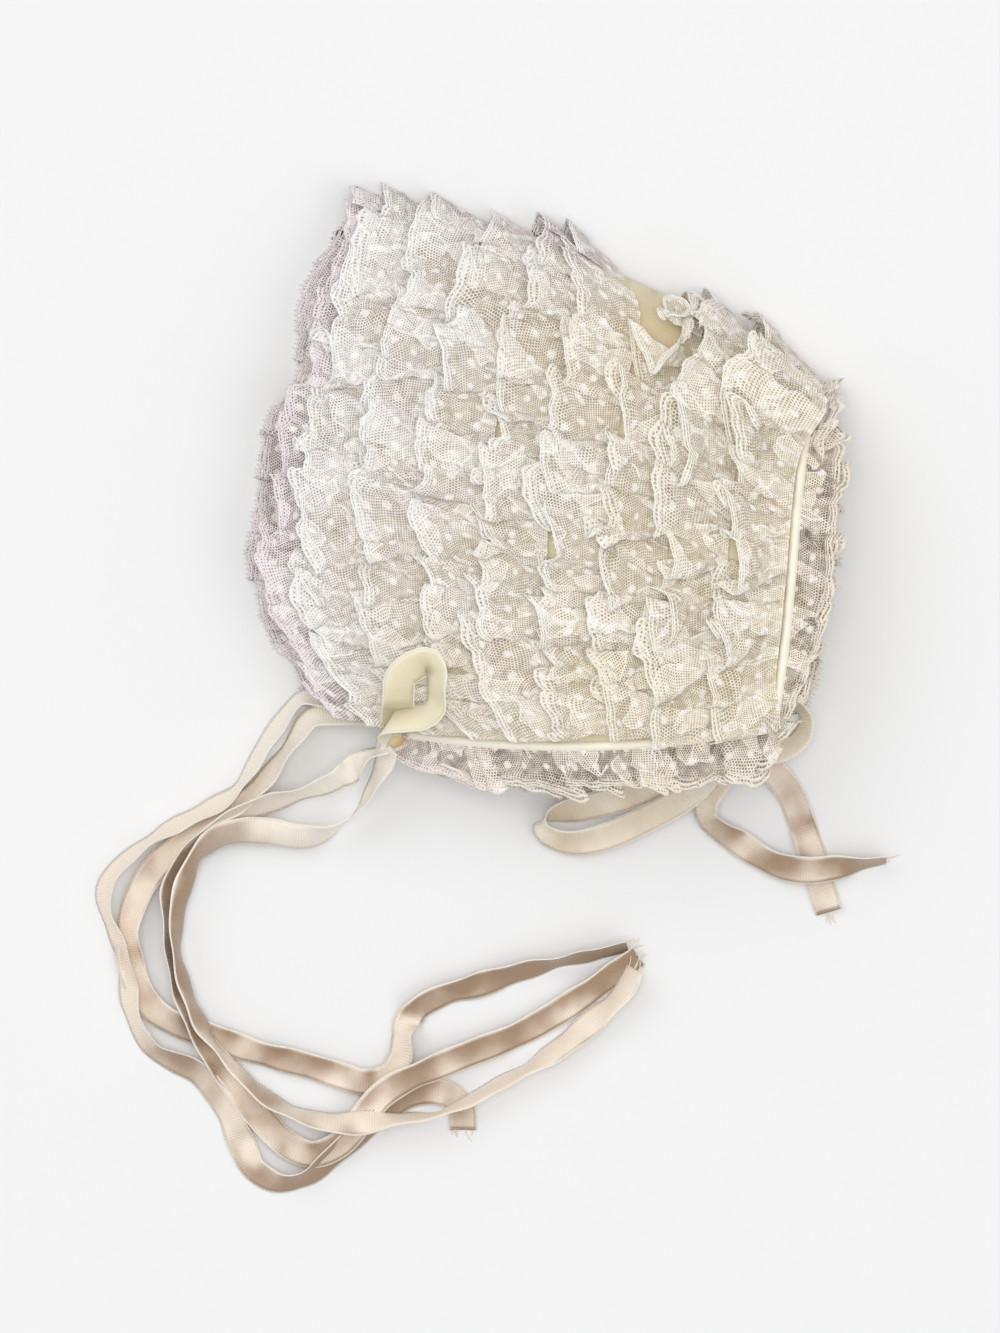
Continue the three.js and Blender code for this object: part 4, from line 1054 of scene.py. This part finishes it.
def width_share(ways, back, table):
    """The share of the full width along a header; the lower side repeats the upper side's."""
    places, shares_there = zip(*table)
    heights = np.linspace(places[0], places[-1], 200)
    upper = np.array([way_at(back, y) for y in heights])
    there = np.interp(heights, places, shares_there)
    top = way_at(back, TOP)
    return lambda s0: np.interp(np.where(s0 < top, s0, 2 * top - s0), upper, there)


face_shares, face_ways = header_line(0.0)
face_top = way_at(0.0, TOP)
back_shares, back_ways = header_line(1.0)


def face_place(s, r, n, s0):
    share = np.interp(s, face_ways, face_shares)
    along = round_at(share)
    ahead = r - EDGE_HEM * (1 - smoothstep(share, FOLD_SHARE - 0.07, FOLD_SHARE))
    point, to_back, _, out = hood_frame(np.maximum(-ahead / depth_at(along), 0), along)
    point = point - to_back * np.maximum(ahead, 0)[..., None]
    return above_surface(point, out, n)


def face_stand(s0, out):
    free = freedom(np.interp(s0, face_ways, face_shares))
    return 0.3 + 1.0 * free * out + 4.0 * out**0.7 * np.exp(-(((s0 - face_top) / 9) ** 2))


def back_place(s, r, n, s0):
    along = round_at(np.interp(s, back_ways, back_shares))
    point, to_back, _, out = hood_frame(1.0, along)
    return above_surface(point + to_back * (r + PIPED_START)[..., None], out, n)


def back_stand(s0, out):
    free = freedom(np.interp(s0, back_ways, back_shares))
    return 0.3 - 1.6 * free + 0.6 * out * free


lace(
    "face_ruffle_net", ("face_ruffle", "face_ruffle_under"), 31, face_ways[-1], EDGE_WIDTH + EDGE_HEM,
    face_place, face_stand, folding(face_shares, face_ways), fold=0.7, zigzag=0.25, puff=0.9,
    crumple=0.7, lean=2.0, layer=0.7, profile=width_share(face_ways, 0.0, FACE_WIDTHS), **EDGING)
lace(
    "back_ruffle_net", ("back_ruffle", "back_ruffle_under"), 32, back_ways[-1], BACK_WIDTH,
    back_place, back_stand, folding(back_shares, back_ways), fold=1.0, zigzag=0.3, puff=2.0,
    crumple=0.8, lean=2.5, profile=width_share(back_ways, 1.0, BACK_WIDTHS), **EDGING)

# The upper neck edge's lace goes on round the nape corner in a fan
neck_backs = np.linspace(NECK_START, 1, 200)
neck_ways = ways_along(hood_point(neck_backs, 0.0))
FAN_LENGTH = 17.0
FAN_TURN = math.radians(84)
START_LENGTH = 7.0
START_TURN = math.radians(62)


def neck_place(s, r, n, s0):
    s = s - START_LENGTH
    spot, to_back, to_round, out = hood_frame(np.interp(s, neck_ways, neck_backs), 0.0)
    turn = FAN_TURN * np.clip((s - neck_ways[-1]) / FAN_LENGTH, 0, 1) - (
        START_TURN * np.clip(-s / START_LENGTH, 0, 1))
    turn = turn[..., None]
    away = -to_round * np.cos(turn) + to_back * np.sin(turn)
    return spot + away * (r + PIPED_START)[..., None] + out * n[..., None]


def neck_profile(s0):
    on_neck = smoothstep(s0 - START_LENGTH, neck_ways[-1] - 3, neck_ways[-1] + 8)
    return 1 - 0.55 * on_neck - 0.35 * smoothstep(START_LENGTH - s0, 0, START_LENGTH)


lace(
    "neck_ruffle_net", ("neck_ruffle",), 33, START_LENGTH + neck_ways[-1] + FAN_LENGTH, NECK_WIDTH,
    neck_place, lambda s0, out: -0.9 + 0.4 * out + 0 * s0, lambda s0: 1 + 0 * s0,
    fold=0.95, zigzag=0.4, puff=1.6, crumple=1.0, lean=2.0, profile=neck_profile, **EDGING)


def neck_under_place(s, r, n, s0):
    spot, _, to_round, out = hood_frame(np.interp(s, neck_ways, neck_backs), 1.0)
    return above_surface(spot + to_round * (r + PIPED_START)[..., None], out, n)


lace(
    "neck_ruffle_under_net", ("neck_ruffle_under",), 34, neck_ways[-1] - 1, NECK_WIDTH,
    neck_under_place, lambda s0, out: 0.2 + 0 * out * s0, lambda s0: 0.3 + 0 * s0,
    fold=0.5, zigzag=0.3, puff=0.4, crumple=0.5, lean=2.0, layer=0.4, **EDGING)

# The satin loop and the bow's loops, from the middle of their knots, and which way the ribbon's width
# points at each place; the last direction holds to the end
ROSETTE_LOOP = [
    (-0.6, 1.6, 4.4), (-2.2, 3.6, 7.6), (-1.2, 5.7, 11.0), (3.4, 6.5, 13.4), (9.0, 7.3, 15.4),
    (11.8, 10.2, 17.0), (12.0, 15.4, 18.6), (11.9, 20.4, 19.8), (9.4, 23.2, 20.6), (5.0, 21.6, 20.6),
    (1.5, 18.4, 20.2), (1.0, 14.0, 19.6), (0.9, 10.9, 18.8), (0.8, 9.6, 17.0), (0.8, 10.0, 13.6),
    (0.5, 8.6, 9.4), (0.1, 3.0, 3.4),
]
ROSETTE_WIDTHS = [
    (-0.6, -0.4, 0.6), (-0.7, -0.5, 0.45), (-0.3, -0.8, 0.5), (-0.05, -0.85, 0.5), (0.15, -0.8, 0.6),
    (0.55, -0.5, 0.65), (0.55, -0.1, 0.8), (0.6, 0.2, 0.75), (0.2, 0.85, 0.4), (-0.7, 0.68, 0.25),
    (-0.96, 0.25, 0.12), (-0.99, 0, 0.1), (-0.99, -0.05, 0.08), (-0.99, -0.05, 0.05), (-0.98, -0.05, 0.05),
    (-0.9, 0.2, 0.1), (-0.8, 0.3, 0.4),
]

BOW_LOOP_LEFT = [
    (-3.9, -4.2, -0.8), (-12, -13.8, -3.6), (-24, -21, -5.6), (-37.5, -27, -5.4),
    (-48, -28.8, -4.8), (-55.2, -26.4, -3.9), (-57.2, -23.4, -3.6), (-54.6, -20.8, -4.6),
    (-45, -18.6, -6.8), (-33, -15.6, -7.4), (-19.5, -10.2, -7.2), (-5.9, -3.2, -4.6),
]
BOW_WIDTHS_LEFT = [
    (0.37, -0.93, 0), (0.4, -0.9, 0.1), (0.4, -0.9, 0.1), (0.3, -0.93, -0.15), (0.0, -0.85, -0.5),
    (-0.4, -0.55, -0.75), (-0.5, -0.1, -0.85), (0.0, -0.4, -0.9), (0.3, -0.85, -0.35), (0.37, -0.93, 0),
]

BOW_LOOP_RIGHT = [
    (3.4, -1.8, -1.2), (9, -2.2, -1.2), (16, -0.6, -1.2), (20.8, 3, -1.2), (22.0, 8.4, -1.2),
    (19.0, 12.6, -1.2), (12.4, 9.6, -1.2), (8, 4, -1.2), (4.4, 1, -1.2),
]
BOW_WIDTHS_RIGHT = [
    (0, -0.4, 0.9), (0.1, -0.75, 0.65), (0.3, -0.75, 0.6), (0.55, -0.4, 0.7), (0.5, 0, 0.85),
    (0, 0.3, 0.95), (0, 0, 1),
]


def bound_loop(name, route, place, widths, material, slot, width=RIBBON_WIDTH):
    line, where, _ = smooth_route(route, 1.0)
    widths = np.asarray(widths, float)
    across = np.stack([np.interp(where, np.arange(len(widths)), widths[:, k]) for k in range(3)], -1)
    piece = ribbon(name + "_tape", line + place, across, material, width=width, cup=0.35, ripple=0.15)
    dress(piece, slot, name)


bound_loop(
    "rosette_loop", ROSETTE_LOOP, KNOT_PLACE, ROSETTE_WIDTHS, rosette_satin, "satin", ROSETTE_WIDTH)
bound_loop("nape_bow_loop_left", BOW_LOOP_LEFT, BOW_PLACE, BOW_WIDTHS_LEFT, bow_tape_painted_lighter, "ribbon")
bound_loop("nape_bow_loop_right", BOW_LOOP_RIGHT, BOW_PLACE, BOW_WIDTHS_RIGHT, bow_tape_painted_lighter, "ribbon")

KNOT_AROUND = 48
KNOT_UP = 25


def knot(name, material, slot):
    """A small knot: ribbon wound round itself, as a flattened ball with wraps."""
    low, high = (np.array(c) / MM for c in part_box(name))
    turn = np.linspace(0, 2 * np.pi, KNOT_AROUND, endpoint=False)[None, :]
    rise = np.linspace(-np.pi / 2, np.pi / 2, KNOT_UP)[:, None]
    wraps = 1 - 0.09 * np.abs(np.sin(3 * turn + 1.5 * rise)) ** 0.5 * np.cos(rise)
    ball = np.stack([np.cos(rise) * np.cos(turn), np.cos(rise) * np.sin(turn), np.sin(rise) + 0 * turn], -1)
    points = (low + high) / 2 + ball * wraps[..., None] * (high - low) / 2 * 1.05
    uv = np.stack(together(turn * 3, rise * 3), -1).reshape(-1, 2)
    faces = grid_faces(KNOT_UP, KNOT_AROUND, closed=True)
    dress(add_mesh(name + "_wraps", points.reshape(-1, 3), faces, material, uv), slot, name)


knot("rosette_knot", stained_satin, "satin")
knot("nape_bow_knot", bow_tape_painted_lighter, "ribbon")
